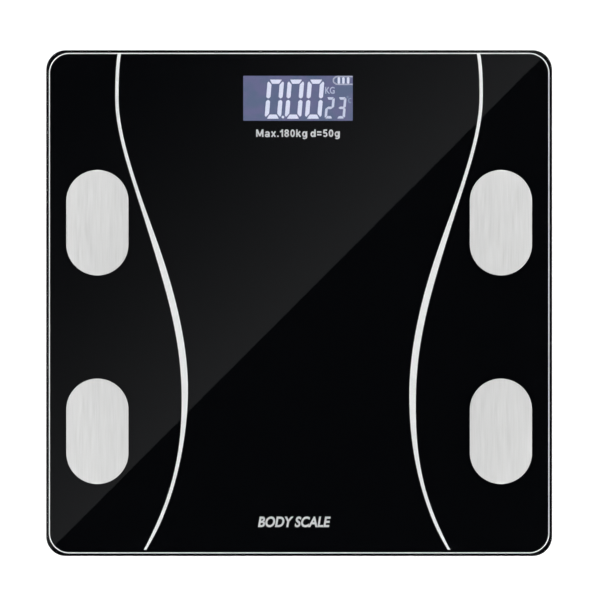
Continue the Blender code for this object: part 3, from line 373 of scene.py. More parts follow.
def battery_sleeve(name, plus_x, direction):
    """A shrink-wrapped cell: glossy green, with a copper-coloured band over the 12 mm at its plus end, and
    bare plated steel at both ends."""
    material, tree, shader = new_material(name, "#1f5a3c", IOR=1.5)
    place = add(tree, "ShaderNodeTexCoord").outputs["Object"]
    along = add(tree, "ShaderNodeSeparateXYZ", {"Vector": place}).outputs["X"]
    from_plus = add(tree, "ShaderNodeMath", {0: along, 1: plus_x}, operation="SUBTRACT").outputs[0]
    depth = add(tree, "ShaderNodeMath", {0: from_plus, 1: -direction}, operation="MULTIPLY").outputs[0]
    band = ranged(tree, depth, 1.0, 0.0, 11.9 * MM, 12.1 * MM)
    sleeve = mixed(tree, band, "#1c5136", "#b5743a")
    ripple = grain(tree, 6 * MM, detail=1.0)
    sleeve = mixed(tree, ranged(tree, ripple, 0.0, 0.08), sleeve, "#7fae93")
    bare = ranged(tree, depth, 1.0, 0.0, 1.25 * MM, 1.30 * MM)
    end = ranged(tree, depth, 0.0, 1.0, 43.7 * MM, 43.8 * MM)
    metal = add(tree, "ShaderNodeMath", {0: bare, 1: end}, operation="MAXIMUM").outputs[0]
    drive(tree, shader, "Base Color", mixed(tree, metal, sleeve, "#b9b7b2"))
    drive(tree, shader, "Metallic", metal)
    drive(tree, shader, "Roughness", ranged(tree, ripple, 0.25, 0.36))
    return material


# --- Shapes ---


def finished(obj, material, body=ROOT, stands_for=()):
    """Gives a new piece its finish, its body and the CAD nodes that it stands for."""
    obj.data.materials.clear()
    obj.data.materials.append(material)
    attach(obj, body)
    if stands_for:
        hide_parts(*stands_for)
    return obj


def show(name, mesh):
    obj = bpy.data.objects.new(name, mesh)
    bpy.context.scene.collection.objects.link(obj)
    return obj


def plain_mesh(obj):
    """The evaluated shape of obj as a mesh with its doubles merged. obj is removed."""
    bpy.context.view_layer.update()
    evaluated = obj.evaluated_get(bpy.context.evaluated_depsgraph_get())
    mesh = bpy.data.meshes.new_from_object(evaluated)
    mesh.transform(obj.matrix_world)
    bpy.data.objects.remove(obj)
    bm = bmesh.new()
    bm.from_mesh(mesh)
    bmesh.ops.remove_doubles(bm, verts=bm.verts, dist=1e-7)
    bmesh.ops.recalc_face_normals(bm, faces=bm.faces)
    bm.to_mesh(mesh)
    bm.free()
    mesh.materials.clear()
    return mesh


def smoothed(obj, angle):
    """The piece with its round faces shaded smooth, up to this many degrees, and its flat faces left flat."""
    obj.data.shade_smooth()
    obj.data.set_sharp_from_angle(angle=math.radians(angle))
    weighted = obj.modifiers.new("Flat faces stay flat", "WEIGHTED_NORMAL")
    weighted.keep_sharp = True
    weighted.weight = 100
    name = obj.name
    bpy.context.view_layer.update()
    evaluated = obj.evaluated_get(bpy.context.evaluated_depsgraph_get())
    mesh = bpy.data.meshes.new_from_object(evaluated)
    bpy.data.objects.remove(obj)
    return show(name, mesh)


def flat(name, outlines, low, high, arris=0.0):
    """A flat piece between two heights. Outlines inside another are holes, and ones beside it are more of the
    piece. An arris rounds off its edges by this much."""
    curve = bpy.data.curves.new(name, "CURVE")
    curve.dimensions = "2D"
    curve.fill_mode = "BOTH"
    curve.extrude = (high - low) / 2 - arris
    curve.bevel_depth = arris
    curve.bevel_resolution = 2
    curve.offset = -arris
    for outline in outlines:
        spline = curve.splines.new("POLY")
        spline.points.add(len(outline) - 1)
        for point, (x, y) in zip(spline.points, outline):
            point.co = (x, y, 0.0, 1.0)
        spline.use_cyclic_u = True
    obj = show(name, curve)
    obj.location.z = (low + high) / 2
    return smoothed(show(name, plain_mesh(obj)), 30)


def turned(name, profile, centre, steps=96):
    """A solid turned about the upright line through centre, from (radius, height) points down its outside."""
    bm = bmesh.new()
    verts = [bm.verts.new((radius, 0.0, height)) for radius, height in profile]
    edges = [bm.edges.new(pair) for pair in zip(verts, verts[1:])]
    bmesh.ops.spin(
        bm,
        geom=verts + edges,
        cent=(0.0, 0.0, 0.0),
        axis=(0.0, 0.0, 1.0),
        angle=2 * math.pi,
        steps=steps,
    )
    bmesh.ops.remove_doubles(bm, verts=bm.verts, dist=1e-7)
    bmesh.ops.recalc_face_normals(bm, faces=bm.faces)
    bmesh.ops.translate(bm, vec=(*centre, 0.0), verts=bm.verts)
    mesh = bpy.data.meshes.new(name)
    bm.to_mesh(mesh)
    bm.free()
    return smoothed(show(name, mesh), 35)


def rounded_rectangle(width, depth, corner, centre=(0.0, 0.0), steps=12):
    points = []
    for quarter, (sx, sy) in enumerate(((1, 1), (-1, 1), (-1, -1), (1, -1))):
        middle = (centre[0] + sx * (width / 2 - corner), centre[1] + sy * (depth / 2 - corner))
        for i in range(steps + 1):
            angle = (quarter + i / steps) * math.pi / 2
            points.append((middle[0] + corner * math.cos(angle), middle[1] + corner * math.sin(angle)))
    return points


def circle(centre, radius, steps=32):
    turns = [2 * math.pi * i / steps for i in range(steps)]
    return [(centre[0] + radius * math.cos(a), centre[1] + radius * math.sin(a)) for a in turns]


def eased(points, reach):
    """The outline with each corner rounded off over this reach."""
    rounded = []
    for before, corner, after in zip(points[-1:] + points[:-1], points, points[1:] + points[:1]):
        corner = Vector(corner)
        start, end = (corner + (Vector(other) - corner).normalized() * reach for other in (before, after))
        for t in (0.0, 0.33, 0.67, 1.0):
            rounded.append(tuple(start * (1 - t) ** 2 + corner * 2 * t * (1 - t) + end * t**2))
    return rounded


def ribbon(points, width, ease=0.0):
    """The outline of a line of this width along open points, with its corners rounded over this reach."""
    if ease:
        points = [points[0], *eased(points, ease)[4:-4], points[-1]]
    points = [Vector(point) for point in points]
    near, far = [], []
    for i, point in enumerate(points):
        along = (points[min(i + 1, len(points) - 1)] - points[max(i - 1, 0)]).normalized()
        aside = Vector((-along.y, along.x)) * width / 2
        near.append(tuple(point + aside))
        far.append(tuple(point - aside))
    return near + far[::-1]


def words(name, text, cap, width, base, low, high, bold=0.02, slant=0.0):
    """Flat letters in a plain bold face, with capitals of this height over a line of this width, centred on
    base."""

    def letters(body):
        curve = bpy.data.curves.new(name, "FONT")
        curve.body = body
        curve.offset = bold
        curve.shear = slant
        curve.extrude = 0.1
        curve.resolution_u = 6
        return plain_mesh(show(name, curve))

    capital = letters("M")
    rise = max(v.co.y for v in capital.vertices)
    mesh = letters(text)
    left, right = min(v.co.x for v in mesh.vertices), max(v.co.x for v in mesh.vertices)
    x_scale, y_scale = width / (right - left), cap / rise
    for v in mesh.vertices:
        v.co.x = base[0] + (v.co.x - (left + right) / 2) * x_scale
        v.co.y = base[1] + v.co.y * y_scale
        v.co.z = high if v.co.z > 0 else low
    bpy.data.meshes.remove(capital)
    return show(name, mesh)


def arc(x, y, width, height, start, end, steps=10):
    """Points on an oval about (x, y), from one angle to another in degrees."""
    turns = [math.radians(start + (end - start) * i / steps) for i in range(steps + 1)]
    return [(x + width * math.cos(a), y + height * math.sin(a)) for a in turns]


def oval(x, y, width, height):
    """A whole oval as two strokes whose ends overlap."""
    return [arc(x, y, width, height, 80, 280, 14), arc(x, y, width, height, -100, 100, 14)]


def letter_strokes():
    """The bold letters of the capacity line: each one's width and its strokes, in heights of a capital."""
    return {
        "M": (
            0.94,
            [
                [(0.1, 0), (0.1, 1)],
                [(0.84, 0), (0.84, 1)],
                [(0.14, 0.93), (0.47, 0.1)],
                [(0.8, 0.93), (0.47, 0.1)],
            ],
        ),
        "a": (
            0.68,
            [
                [(0.56, 0), (0.56, 0.5)],
                arc(0.34, 0.46, 0.22, 0.2, 158, -5),
                *oval(0.31, 0.21, 0.2, 0.14),
            ],
        ),
        "x": (0.62, [[(0.07, 0), (0.55, 0.74)], [(0.55, 0), (0.07, 0.74)]]),
        ".": (0.22, [[(0.11, 0), (0.11, 0.2)]]),
        "1": (0.42, [[(0.32, 0), (0.32, 1)], [(0.34, 0.9), (0.18, 0.74), (0.02, 0.68)]]),
        "8": (0.62, [*oval(0.31, 0.73, 0.19, 0.18), *oval(0.31, 0.28, 0.21, 0.2)]),
        "0": (0.61, oval(0.305, 0.49, 0.205, 0.41)),
        "k": (
            0.6,
            [
                [(0.1, 0), (0.1, 1)],
                [(0.12, 0.28), (0.51, 0.74)],
                [(0.27, 0.44), (0.54, 0)],
            ],
        ),
        "g": (
            0.68,
            [
                *oval(0.31, 0.37, 0.21, 0.28),
                [(0.58, 0.74), (0.58, 0.0), *arc(0.33, -0.02, 0.24, 0.17, -20, -150)],
            ],
        ),
        "d": (0.68, [*oval(0.31, 0.36, 0.21, 0.28), [(0.58, 0), (0.58, 1)]]),
        "=": (0.61, [[(0.03, 0.66), (0.58, 0.66)], [(0.03, 0.3), (0.58, 0.3)]]),
        "5": (
            0.61,
            [
                [(0.55, 0.9), (0.14, 0.9)],
                [(0.19, 0.96), (0.12, 0.47)],
                arc(0.3, 0.32, 0.21, 0.24, 140, -150, 16),
            ],
        ),
    }


def stroked_words(name, text, cap, width, base, low, high, weight=0.19):
    """A line of bold letters made of strokes that are joined into one flat piece, centred on base."""
    letters = letter_strokes()
    strokes, pen, gap, space = [], 0.0, 0.14, 0.26
    for letter in text:
        if letter == " ":
            pen += space
            continue
        wide, lines = letters[letter]
        strokes += [[(pen + x, y) for x, y in line] for line in lines]
        pen += wide + gap
    x_scale = width / (pen - gap)
    pieces = []
    for line in strokes:
        outline = ribbon(line, weight)
        placed = [(base[0] - width / 2 + x * x_scale, base[1] + y * cap) for x, y in outline]
        pieces.append(flat(f"{name}_stroke", [placed], low, high))
    whole, *others = pieces
    for other in others:
        union = whole.modifiers.new("Join", "BOOLEAN")
        union.operation, union.solver, union.object = "UNION", "EXACT", other
    mesh = plain_mesh(whole)
    for other in others:
        bpy.data.objects.remove(other)
    return show(name, mesh)


def smooth_copy(node, name, angle, material, body=ROOT):
    """The CAD node's shape, merged and with its round faces shaded smooth, standing for the node."""
    mesh = NODES[node].data.copy()
    mesh.name = name
    bm = bmesh.new()
    bm.from_mesh(mesh)
    bmesh.ops.remove_doubles(bm, verts=bm.verts, dist=1e-6)
    bm.to_mesh(mesh)
    bm.free()
    if mesh.has_custom_normals:
        mesh.attributes.remove(mesh.attributes["custom_normal"])
    return finished(smoothed(show(name, mesh), angle), material, body, (node,))


# --- Glass and its print ---


def electrode_centre(corner):
    low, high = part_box(f"electrode_{corner}")
    return ((low.x + high.x) / 2, (low.y + high.y) / 2)


def build_glass():
    """The plate, with a fine rounded arris all round and at its four stud holes."""
    width, depth = GLASS_HIGH.x - GLASS_LOW.x, GLASS_HIGH.y - GLASS_LOW.y
    outlines = [
        rounded_rectangle(width, depth, GLASS_CORNER, steps=24),
        *(circle(electrode_centre(corner), STUD_HOLE) for corner in CORNERS),
    ]
    plate = flat("tempered_glass_plate", outlines, GLASS_LOW.z, GLASS_HIGH.z, GLASS_ARRIS)
    finished(plate, tempered_glass(), stands_for=("glass_platform",))


def print_black():
    """The black field, printed last over the silver and the words, with a clear window and openings for the
    studs."""
    width = GLASS_HIGH.x - GLASS_LOW.x - 2 * BLACK_MARGIN
    depth = GLASS_HIGH.y - GLASS_LOW.y - 2 * BLACK_MARGIN
    outlines = [
        rounded_rectangle(width, depth, GLASS_CORNER - BLACK_MARGIN, steps=24),
        rounded_rectangle(*WINDOW_SIZE, WINDOW_CORNER, WINDOW_CENTRE, 4),
        *(circle(electrode_centre(corner), STUD_OPENING) for corner in CORNERS),
    ]
    low = GLASS_LOW.z - INK_THICK
    finished(flat("black_print", outlines, low, GLASS_LOW.z + INK_BED / 2), black_ink())


def line_outline(name, side):
    """A waisted line: knots joined by Bezier curves, a smooth swell centred behind the waist, and a tapered
    front end."""
    near, far = [], []
    knots = LINE_KNOTS[name]
    for (start, _, leaving), (end, arriving, _) in zip(knots, knots[1:]):
        a, d = Vector(start), Vector(end)
        b, c = a + Vector(leaving), d + Vector(arriving)
        for i in range(LINE_STEPS):
            t = i / (LINE_STEPS - 1)
            point = a * (1 - t) ** 3 + b * 3 * t * (1 - t) ** 2 + c * 3 * t * t * (1 - t) + d * t**3
            along = (b - a) * (1 - t) ** 2 + (c - b) * 2 * t * (1 - t) + (d - c) * t**2
            x, y = point * MM
            swell = math.exp(-(((y - SWELL_CENTRE[name]) / SWELL_REACH[name]) ** 4))
            taper = 1.0 - TAPER_SHARE * min(max((TAPER_START - y) / TAPER_REACH, 0.0), 1.0)
            half = (LINE_THIN + LINE_SWELL * swell) * taper / 2 * math.hypot(1.0, along.x / along.y)
            if near and abs(near[-1][1] - y) < 1e-6:
                continue
            near.append((side * (x + half), y))
            far.append((side * (x - half), y))
    return near + far[::-1]


def print_silver():
    """The border and the two waisted lines, printed first, so that the black is behind them."""
    ink = silver_ink()
    low, high = GLASS_LOW.z, GLASS_LOW.z + INK_BED
    size = GLASS_HIGH.x - GLASS_LOW.x - 2 * BORDER_INSET
    border = [
        rounded_rectangle(size + reach, size + reach, GLASS_CORNER + reach / 2, steps=24)
        for reach in (BORDER_WIDTH, -BORDER_WIDTH)
    ]
    finished(flat("silver_border", border, low, high), ink)
    for name, side in SIDES.items():
        finished(flat(f"silver_line_{name}", [line_outline(name, side)], low, high), ink)


def print_words():
    """The capacity line below the display and the title at the front edge."""
    low, high = GLASS_LOW.z, GLASS_LOW.z + INK_BED
    text = "Max.180kg d=50g"
    capacity = stroked_words("capacity_print", text, TEXT_CAP, TEXT_WIDTH, TEXT_BASE, low, high)
    finished(capacity, white_ink())
    title = words("title_print", "BODY SCALE", WORDS_CAP, WORDS_WIDTH, WORDS_BASE, low, high, 0.032, 0.2)
    finished(title, white_ink())


def stadium(width, length, centre, steps=40):
    """A strip along Y with full round ends."""
    return rounded_rectangle(width, length, width / 2, centre, steps)


def build_electrodes():
    """Each steel plate, the black adhesive film under it, and the stud that goes down through the glass."""
    steel = brushed_steel()
    film = foam("black_adhesive_film", "#101011", "#19191a")
    for corner in CORNERS:
        low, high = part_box(f"electrode_{corner}")
        x, y = electrode_centre(corner)
        width, length = high.x - low.x, high.y - low.y
        outline = stadium(width, length, (x, y))
        sheet = flat(f"foot_plate_{corner}", [outline], PLATE_LOW, high.z, PLATE_ARRIS)
        finished(sheet, steel, stands_for=(f"electrode_{corner}",))
        outlines = [
            stadium(width - 2 * FILM_INSET, length - 2 * FILM_INSET, (x, y)),
            circle((x, y), FILM_HOLE),
        ]
        bond = flat(f"plate_film_{corner}", outlines, GLASS_HIGH.z + 0.01 * MM, PLATE_LOW - 0.01 * MM)
        finished(bond, film)
        top = PLATE_LOW + 0.05 * MM
        profile = [
            (0.0, top),
            (STUD_RADIUS, top),
            (STUD_RADIUS, low.z + STUD_BEVEL),
            (STUD_RADIUS - STUD_BEVEL, low.z),
            (0.0, low.z),
        ]
        finished(turned(f"plate_stud_{corner}", profile, (x, y), 40), steel)


# --- Display ---


def bar_outlines(size, gap):
    """The seven bars of a digit, a to g, from its lower left corner, with this gap round each."""
    width, height, stroke = size
    middle = height / 2
    inner, outer = stroke + gap, 0.4 * stroke + gap
    top = [
        (outer, height),
        (width - outer, height),
        (width - inner, height - stroke),
        (inner, height - stroke),
    ]
    upper_left = [
        (0.0, middle + 0.37 * stroke + gap),
        (0.0, height - 0.62 * stroke - gap),
        (0.3 * stroke, height - 0.3 * stroke - gap),
        (stroke, height - 1.1 * stroke - gap),
        (stroke, middle + 0.37 * stroke + gap),
        (0.5 * stroke, middle + gap),
    ]
    tip, shoulder, full = 0.5 * stroke + gap, 0.37 * stroke, 0.18 * stroke
    centre = [
        (tip, middle),
        (inner, middle + shoulder),
        (inner + full, middle + stroke / 2),
        (width - inner - full, middle + stroke / 2),
        (width - inner, middle + shoulder),
        (width - tip, middle),
        (width - inner, middle - shoulder),
        (width - inner - full, middle - stroke / 2),
        (inner + full, middle - stroke / 2),
        (inner, middle - shoulder),
    ]

    def across(points):
        return [(width - x, y) for x, y in points]

    def down(points):
        return [(x, height - y) for x, y in points]

    return {
        "a": top,
        "b": across(upper_left),
        "c": down(across(upper_left)),
        "d": down(top),
        "e": down(upper_left),
        "f": upper_left,
        "g": centre,
    }


def leaning(points, start):
    """Points placed from start, leaning to the right."""
    return [(start[0] + x + LEAN * y, start[1] + y) for x, y in points]


def digit_outlines(digit, size, gap, start):
    bars = bar_outlines(size, gap)
    return [leaning(eased(bars[bar], BAR_EASE * size[2]), start) for bar in BARS_OF[digit]]


def build_display():
    """The lit symbols, which lie on the panel, and the panel's own finish."""
    low = LCD_HIGH.z + 0.01 * MM
    high = low + SYMBOL_THICK
    bright = lit_symbol("lit_display_segment", "#e7e5fe", "#dfe6fd", 0.97)
    middling = lit_symbol("lit_small_segment", "#d4d6f0", "#ced6f2")
    big = []
    for index in range(3):
        start = (BIG_START[0] + index * BIG_PITCH, BIG_START[1])
        big += digit_outlines("0", BIG_DIGIT, BIG_GAP, start)
    big.append(circle(POINT_PLACE, POINT_RADIUS, 16))
    finished(flat("weight_digits", big, low, high), bright)
    small = []
    for digit, start in zip("23", SMALL_STARTS):
        small += digit_outlines(digit, SMALL_DIGIT, SMALL_GAP, (start, SMALL_BASE))
    finished(flat("temperature_digits", small, low, high), middling)
    unit = words("unit_letters", "KG", UNIT_CAP, UNIT_WIDTH, UNIT_BASE, low, high)
    finished(unit, lit_symbol("lit_unit_segment", "#bcc0de", "#b0b9d8"))
    build_battery_symbol(low, high, bright)
    build_degree_mark(low, high)
    finish_node("lcd_panel", backlit_panel())


def build_battery_symbol(low, high, bright):
    """A battery on its side with its tapered end to the left, and three bars of charge in it."""
    base = 115.0
    shell = [(28.0, 2.0), (19.3, 2.0), (17.7, 0.9), (17.7, -0.9), (19.3, -2.0), (28.0, -2.0)]
    outline = ribbon([(x * MM, (base + y) * MM) for x, y in shell], 0.75 * MM, 0.5 * MM)
    case = flat("battery_symbol_case", [outline], low, high)
    finished(case, lit_symbol("lit_case", "#a9adca", "#b2b4cc"))
    bars = []
    for x in (20.5, 22.85, 25.3):
        bars.append(rounded_rectangle(1.3 * MM, 3.3 * MM, 0.55 * MM, (x * MM, base * MM), 4))
    finished(flat("battery_symbol_bars", bars, low, high), bright)


def build_degree_mark(low, high):
    """A small ring and a C, hardly lit."""
    ring = (25.0 * MM, 106.5 * MM)
    middle = (26.3, 104.6)
    sweep = [math.radians(angle) for angle in range(50, 311, 20)]
    letter = [((middle[0] + 0.8 * math.cos(a)) * MM, (middle[1] + 1.15 * math.sin(a)) * MM) for a in sweep]
    outlines = [circle(ring, 0.5 * MM, 16), circle(ring, 0.22 * MM, 16), ribbon(letter, 0.45 * MM, 0.05 * MM)]
    mark = flat("degree_letters", outlines, low, high)
    finished(mark, lit_symbol("lit_faint_segment", "#8098b4", "#8c9cba"))


def finish_node(node, material):
    """Gives a CAD node that keeps its own shape its finish."""
    data = NODES[node].data
    data.materials.clear()
    data.materials.append(material)


# --- Tray, feet and door ---


def build_tray(black):
    """The tray, and the black foam tape that bonds the glass to it."""
    smooth_copy("base_tray", "moulded_tray", 28, black)
    inset, band, corner, sunk = 4.6 * MM, 3.2 * MM, 20 * MM, 0.28 * MM
    outlines = [
        rounded_rectangle(GLASS_HIGH.x * 2 - 2 * reach, GLASS_HIGH.y * 2 - 2 * reach, corner - reach)
        for reach in (inset, inset + band)
    ]
    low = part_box("bonding_tape")[0]
    tape = flat("foam_tape", outlines, low.z - sunk, GLASS_LOW.z - INK_THICK)
    finished(tape, foam("black_foam_tape", "#1b1b1d", "#2a2a2c"), stands_for=("bonding_tape",))


def build_feet(grey, rubber):
    """Each turned foot, held up in its well by a flange, and the rubber pad in its sole."""
    for corner in CORNERS:
        low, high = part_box(f"foot_{corner}")
        centre = ((low.x + high.x) / 2, (low.y + high.y) / 2)
        foot = turned(f"turned_foot_{corner}", foot_profile((high.x - low.x) / 2, low.z, high.z), centre)
        finished(foot, grey, f"foot_{corner}", (f"foot_{corner}",))
        low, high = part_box(f"foot_pad_{corner}")
        pad = turned(f"rubber_pad_{corner}", pad_profile((high.x - low.x) / 2, high.z - low.z), centre)
        finished(pad, rubber, f"foot_{corner}", (f"foot_pad_{corner}",))


def foot_profile(flange, bottom, top):
    """The foot's section: boss, floor, shell wall, flange, outer wall with a rounded rim, and the pad's
    recess."""
    wall, shell, boss, rim = flange - 1.5 * MM, 1.5 * MM, 4.0 * MM, 0.7 * MM
    floor, under, over, seat = 3.7 * MM, 6.6 * MM, 7.9 * MM, 2.2 * MM
    recess = 12.5 * MM
    turns = [math.radians(angle) for angle in (0, 22, 45, 68, 90)]
    return [
        (0.0, top),
        (boss - 0.3 * MM, top),
        (boss, top - 0.3 * MM),
        (boss, floor),
        (wall - shell, floor),
        (wall - shell, over),
        (flange, over),
        (flange, under),
        (wall, under),
        *((wall - rim * (1 - math.cos(a)), bottom + rim * (1 - math.sin(a))) for a in turns),
        (recess, bottom),
        (recess, seat),
        (0.0, seat),
    ]


def pad_profile(radius, thick):
    """A pad with a rounded rim and ring grooves in its sole."""
    edge, depth = 0.5 * MM, 0.45 * MM
    profile = [(0.0, thick), (radius - 0.1 * MM, thick), (radius, thick - 0.1 * MM), (radius, edge)]
    profile += [(radius - edge * (1 - math.cos(a)), edge * (1 - math.sin(a))) for a in (0.4, 0.8, 1.2, 1.57)]
    for groove in (9.9 * MM, 7.7 * MM, 5.5 * MM, 3.3 * MM):
        profile += [
            (groove, 0.0),
            (groove - 0.15 * MM, depth),
            (groove - 0.65 * MM, depth),
            (groove - 0.8 * MM, 0.0),
        ]
    return [*profile, (0.0, 0.0)]


def repeat_along(name, shape, count, start, step, material, body):
    """Copies of a small shape in a row, made by a node tree and turned into one plain mesh."""
    tree = bpy.data.node_groups.new(f"{name}_row", "GeometryNodeTree")
    sockets = {}
    for title, kind, way in (
        ("Geometry", "NodeSocketGeometry", "INPUT"),
        ("Count", "NodeSocketInt", "INPUT"),
        ("Start", "NodeSocketVector", "INPUT"),
        ("Step", "NodeSocketVector", "INPUT"),
        ("Finish", "NodeSocketMaterial", "INPUT"),
        ("Geometry", "NodeSocketGeometry", "OUTPUT"),
    ):
        sockets[(title, way)] = tree.interface.new_socket(title, in_out=way, socket_type=kind).identifier
    given = add(tree, "NodeGroupInput").outputs
    line = add(
        tree,
        "GeometryNodeMeshLine",
        {"Count": given["Count"], "Start Location": given["Start"], "Offset": given["Step"]},
        mode="OFFSET",
    )
    repeated = {"Points": line.outputs[0], "Instance": given["Geometry"]}
    points = add(tree, "GeometryNodeInstanceOnPoints", repeated)
    real = add(tree, "GeometryNodeRealizeInstances", {"Geometry": points.outputs[0]})
    coated = {"Geometry": real.outputs[0], "Material": given["Finish"]}
    surfaced = add(tree, "GeometryNodeSetMaterial", coated)
    add(tree, "NodeGroupOutput", {"Geometry": surfaced.outputs[0]})
    obj = show(name, shape)
    row = obj.modifiers.new("Row", "NODES")
    row.node_group = tree
    row[sockets[("Count", "INPUT")]] = count
    row[sockets[("Start", "INPUT")]] = start
    row[sockets[("Step", "INPUT")]] = step
    row[sockets[("Finish", "INPUT")]] = material
    return finished(show(name, plain_mesh(obj)), material, body)


def bead(width, depth, height, ease):
    """A small block with rounded edges about the origin."""
    bm = bmesh.new()
    bmesh.ops.create_cube(bm, size=1.0)
    bmesh.ops.scale(bm, vec=(width, depth, height), verts=bm.verts)
    bmesh.ops.bevel(bm, geom=bm.edges[:], offset=ease, segments=2, profile=0.5, affect="EDGES")
    mesh = bpy.data.meshes.new("bead")
    bm.to_mesh(mesh)
    bm.free()
    return mesh


def build_door(black, pale):
    """The door, with grip ribs on its latch tongue, and an arrow and the cells' size printed on it."""
    smooth_copy("battery_door", "battery_cover", 25, black, "battery_door")
    under = DOOR_LOW.z
    front = DOOR_LOW.y + 1.0 * MM
    grip = bead(6.4 * MM, 0.5 * MM, 0.5 * MM, 0.15 * MM)
    start = (0.0, front + 2.2 * MM, under + 0.65 * MM)
    repeat_along("latch_grip_ribs", grip, 4, start, (0.0, 0.8 * MM, 0.0), black, "battery_door")
    tip = front + 7.9 * MM
    arrow = [(0.0, 0.0), (2.6, 3.0), (0.9, 3.0), (0.9, 6.2), (-0.9, 6.2), (-0.9, 3.0), (-2.6, 3.0)]
    outline = [(x * MM, tip + y * MM) for x, y in arrow]
    mark = flat("door_arrow", [outline], under - PRINT_THICK, under + PRINT_BED)
    finished(mark, pale, "battery_door")
    cap, width, behind = 2.6 * MM, 15 * MM, 8.2 * MM
    size = words("cell_size_letters", "2 x AAA", cap, width, (0.0, 0.0), -PRINT_THICK, PRINT_BED, 0.0)
    finished(facing_down(size, (0.0, tip + behind, under)), pale, "battery_door")


def facing_down(obj, place):
    """The letters moved to this place and mirrored, to read from below, with their faces still outwards."""
    mirror = Matrix.Scale(-1.0, 4, (1.0, 0.0, 0.0))
    obj.data.transform(Matrix.Translation(place) @ mirror)
    obj.data.flip_normals()
    return obj


def build_underside_marks(pale):
    """The button's name beside it, and a blank foil label in its recess."""
    under = TRAY_LOW.z
    centre = ((BUTTON_LOW.x + BUTTON_HIGH.x) / 2, (BUTTON_LOW.y + BUTTON_HIGH.y) / 2)
    cap, width, behind = 2.8 * MM, 9.5 * MM, 7.5 * MM
    name = words("unit_mark", "UNIT", cap, width, (0.0, 0.0), -PRINT_THICK, PRINT_BED, 0.0)
    finished(facing_down(name, (centre[0], centre[1] + behind, under)), pale)
    plate_low, plate_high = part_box("electrode_front_left")
    label_y = (plate_low.y + plate_high.y) / 2
    sheet = [rounded_rectangle(68.6 * MM, 36.6 * MM, 1.0 * MM, (0.0, label_y), 6)]
    foil = sheet_metal("satin_foil_label", "#b4b6b8", "#c6c8c9", 0.38, 0.8 * MM)
    label = flat("rating_label", sheet, under + 0.28 * MM, under + 0.4 * MM)
    finished(label, foil)
    frame_lines = [
        rounded_rectangle(64 * MM, 32 * MM, 0.8 * MM, (0.0, label_y), 6),
        rounded_rectangle(63.3 * MM, 31.3 * MM, 0.5 * MM, (0.0, label_y), 6),
    ]
    lines = flat("label_frame", frame_lines, under + 0.25 * MM, under + 0.29 * MM)
    finished(lines, smooth_plastic("grey_print", "#55585b", "#606366"))


def build_inside(black):
    """Finishes of what is inside the tray."""
    plated = sheet_metal("nickel_plated_spring_steel", "#a8a49c", "#c2bfb8", 0.22)
    zinc = sheet_metal("zinc_plated_steel", "#9a9da1", "#b3b6ba", 0.36, 1.6 * MM)
    silicone = smooth_plastic("white_potting_silicone", "#d8d8d2", "#e4e4df", 0.5)
    white = smooth_plastic("white_pvc", "#c9c8c2", "#d8d7d2")
    dark = smooth_plastic("black_pvc", "#151517", "#232326")
    red = smooth_plastic("red_pvc", "#9d1414", "#b52020")
    for corner in CORNERS:
        finish_node(f"electrode_tag_{corner}", plated)
        finish_node(f"load_cell_{corner}", zinc)
        finish_node(f"strain_gauge_{corner}", silicone)
        finish_node(f"foot_retainer_{corner}", black)
        finish_node(f"load_cell_cable_{corner}", dark)
        finish_node(f"electrode_wire_{corner}", white)
    for contact in ("link_plate", "link_spring", "positive_plate", "negative_spring"):
        finish_node(f"battery_{contact}", plated)
    finish_node("battery_lead_positive", red)
    finish_node("battery_lead_negative", dark)
    finish_node("pcb_screw_front", plated)
    finish_node("pcb_screw_rear", plated)
    finish_node("main_pcb", circuit_board())
    finish_node("controller_chip", smooth_plastic("black_epoxy_blob", "#0b0b0c", "#161618", 0.25))
    finish_node("wireless_module", sheet_metal("tinned_shield_can", "#a9abad", "#bfc1c2", 0.28))
    finish_node("unit_switch", smooth_plastic("black_switch_body", "#121214", "#1c1c1f"))
    finish_node("switch_plunger", white)
    finish_node("lcd_frame", black)
    finish_node("lcd_backlight", smooth_plastic("frosted_acrylic", "#d4d8e0", "#e2e5ea", 0.4))
    finish_node("display_gasket", foam("black_gasket_foam", "#0d0d0e", "#161617"))
    for name, direction in (("front", 1), ("rear", -1)):
        low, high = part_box(f"battery_{name}")
        plus_x = high.x if direction > 0 else low.x
        sleeve = battery_sleeve(f"{name}_cell_sleeve", plus_x, direction)
        smooth_copy(f"battery_{name}", f"aaa_cell_{name}", 30, sleeve)


def build_board_parts():
    """Rows of small parts on the board: chip resistors, solder joints and the display's pins."""
    tin = sheet_metal("solder_tin", "#b4b6b8", "#cfd1d2", 0.2, 0.6 * MM)
    ceramic = smooth_plastic("chip_ceramic", "#2b2724", "#3a3430")
    top, under = PCB_HIGH.z, PCB_LOW.z
    front = PCB_LOW.y
    chips = bead(1.6 * MM, 0.8 * MM, 0.5 * MM, 0.12 * MM)
    start = (-4.0 * MM, front + 8.2 * MM, top + 0.26 * MM)
    repeat_along("chip_resistors", chips, 6, start, (3.1 * MM, 0.0, 0.0), ceramic, ROOT)
    pins = bead(0.5 * MM, 0.25 * MM, 2.0 * MM, 0.08 * MM)
    start = (-20.0 * MM, LCD_LOW.y - 2.35 * MM, top + 1.02 * MM)
    repeat_along("display_pins", pins, 21, start, (2.0 * MM, 0.0, 0.0), tin, ROOT)
    joints = bead(1.8 * MM, 1.8 * MM, 0.7 * MM, 0.3 * MM)
    for name, side in SIDES.items():
        start = (side * 30.0 * MM, front + 2.5 * MM, under - 0.30 * MM)
        step = (-side * 5.5 * MM, 0.0, 0.0)
        repeat_along(f"wire_solder_joints_{name}", joints, 4, start, step, tin, ROOT)


# --- Studio ---


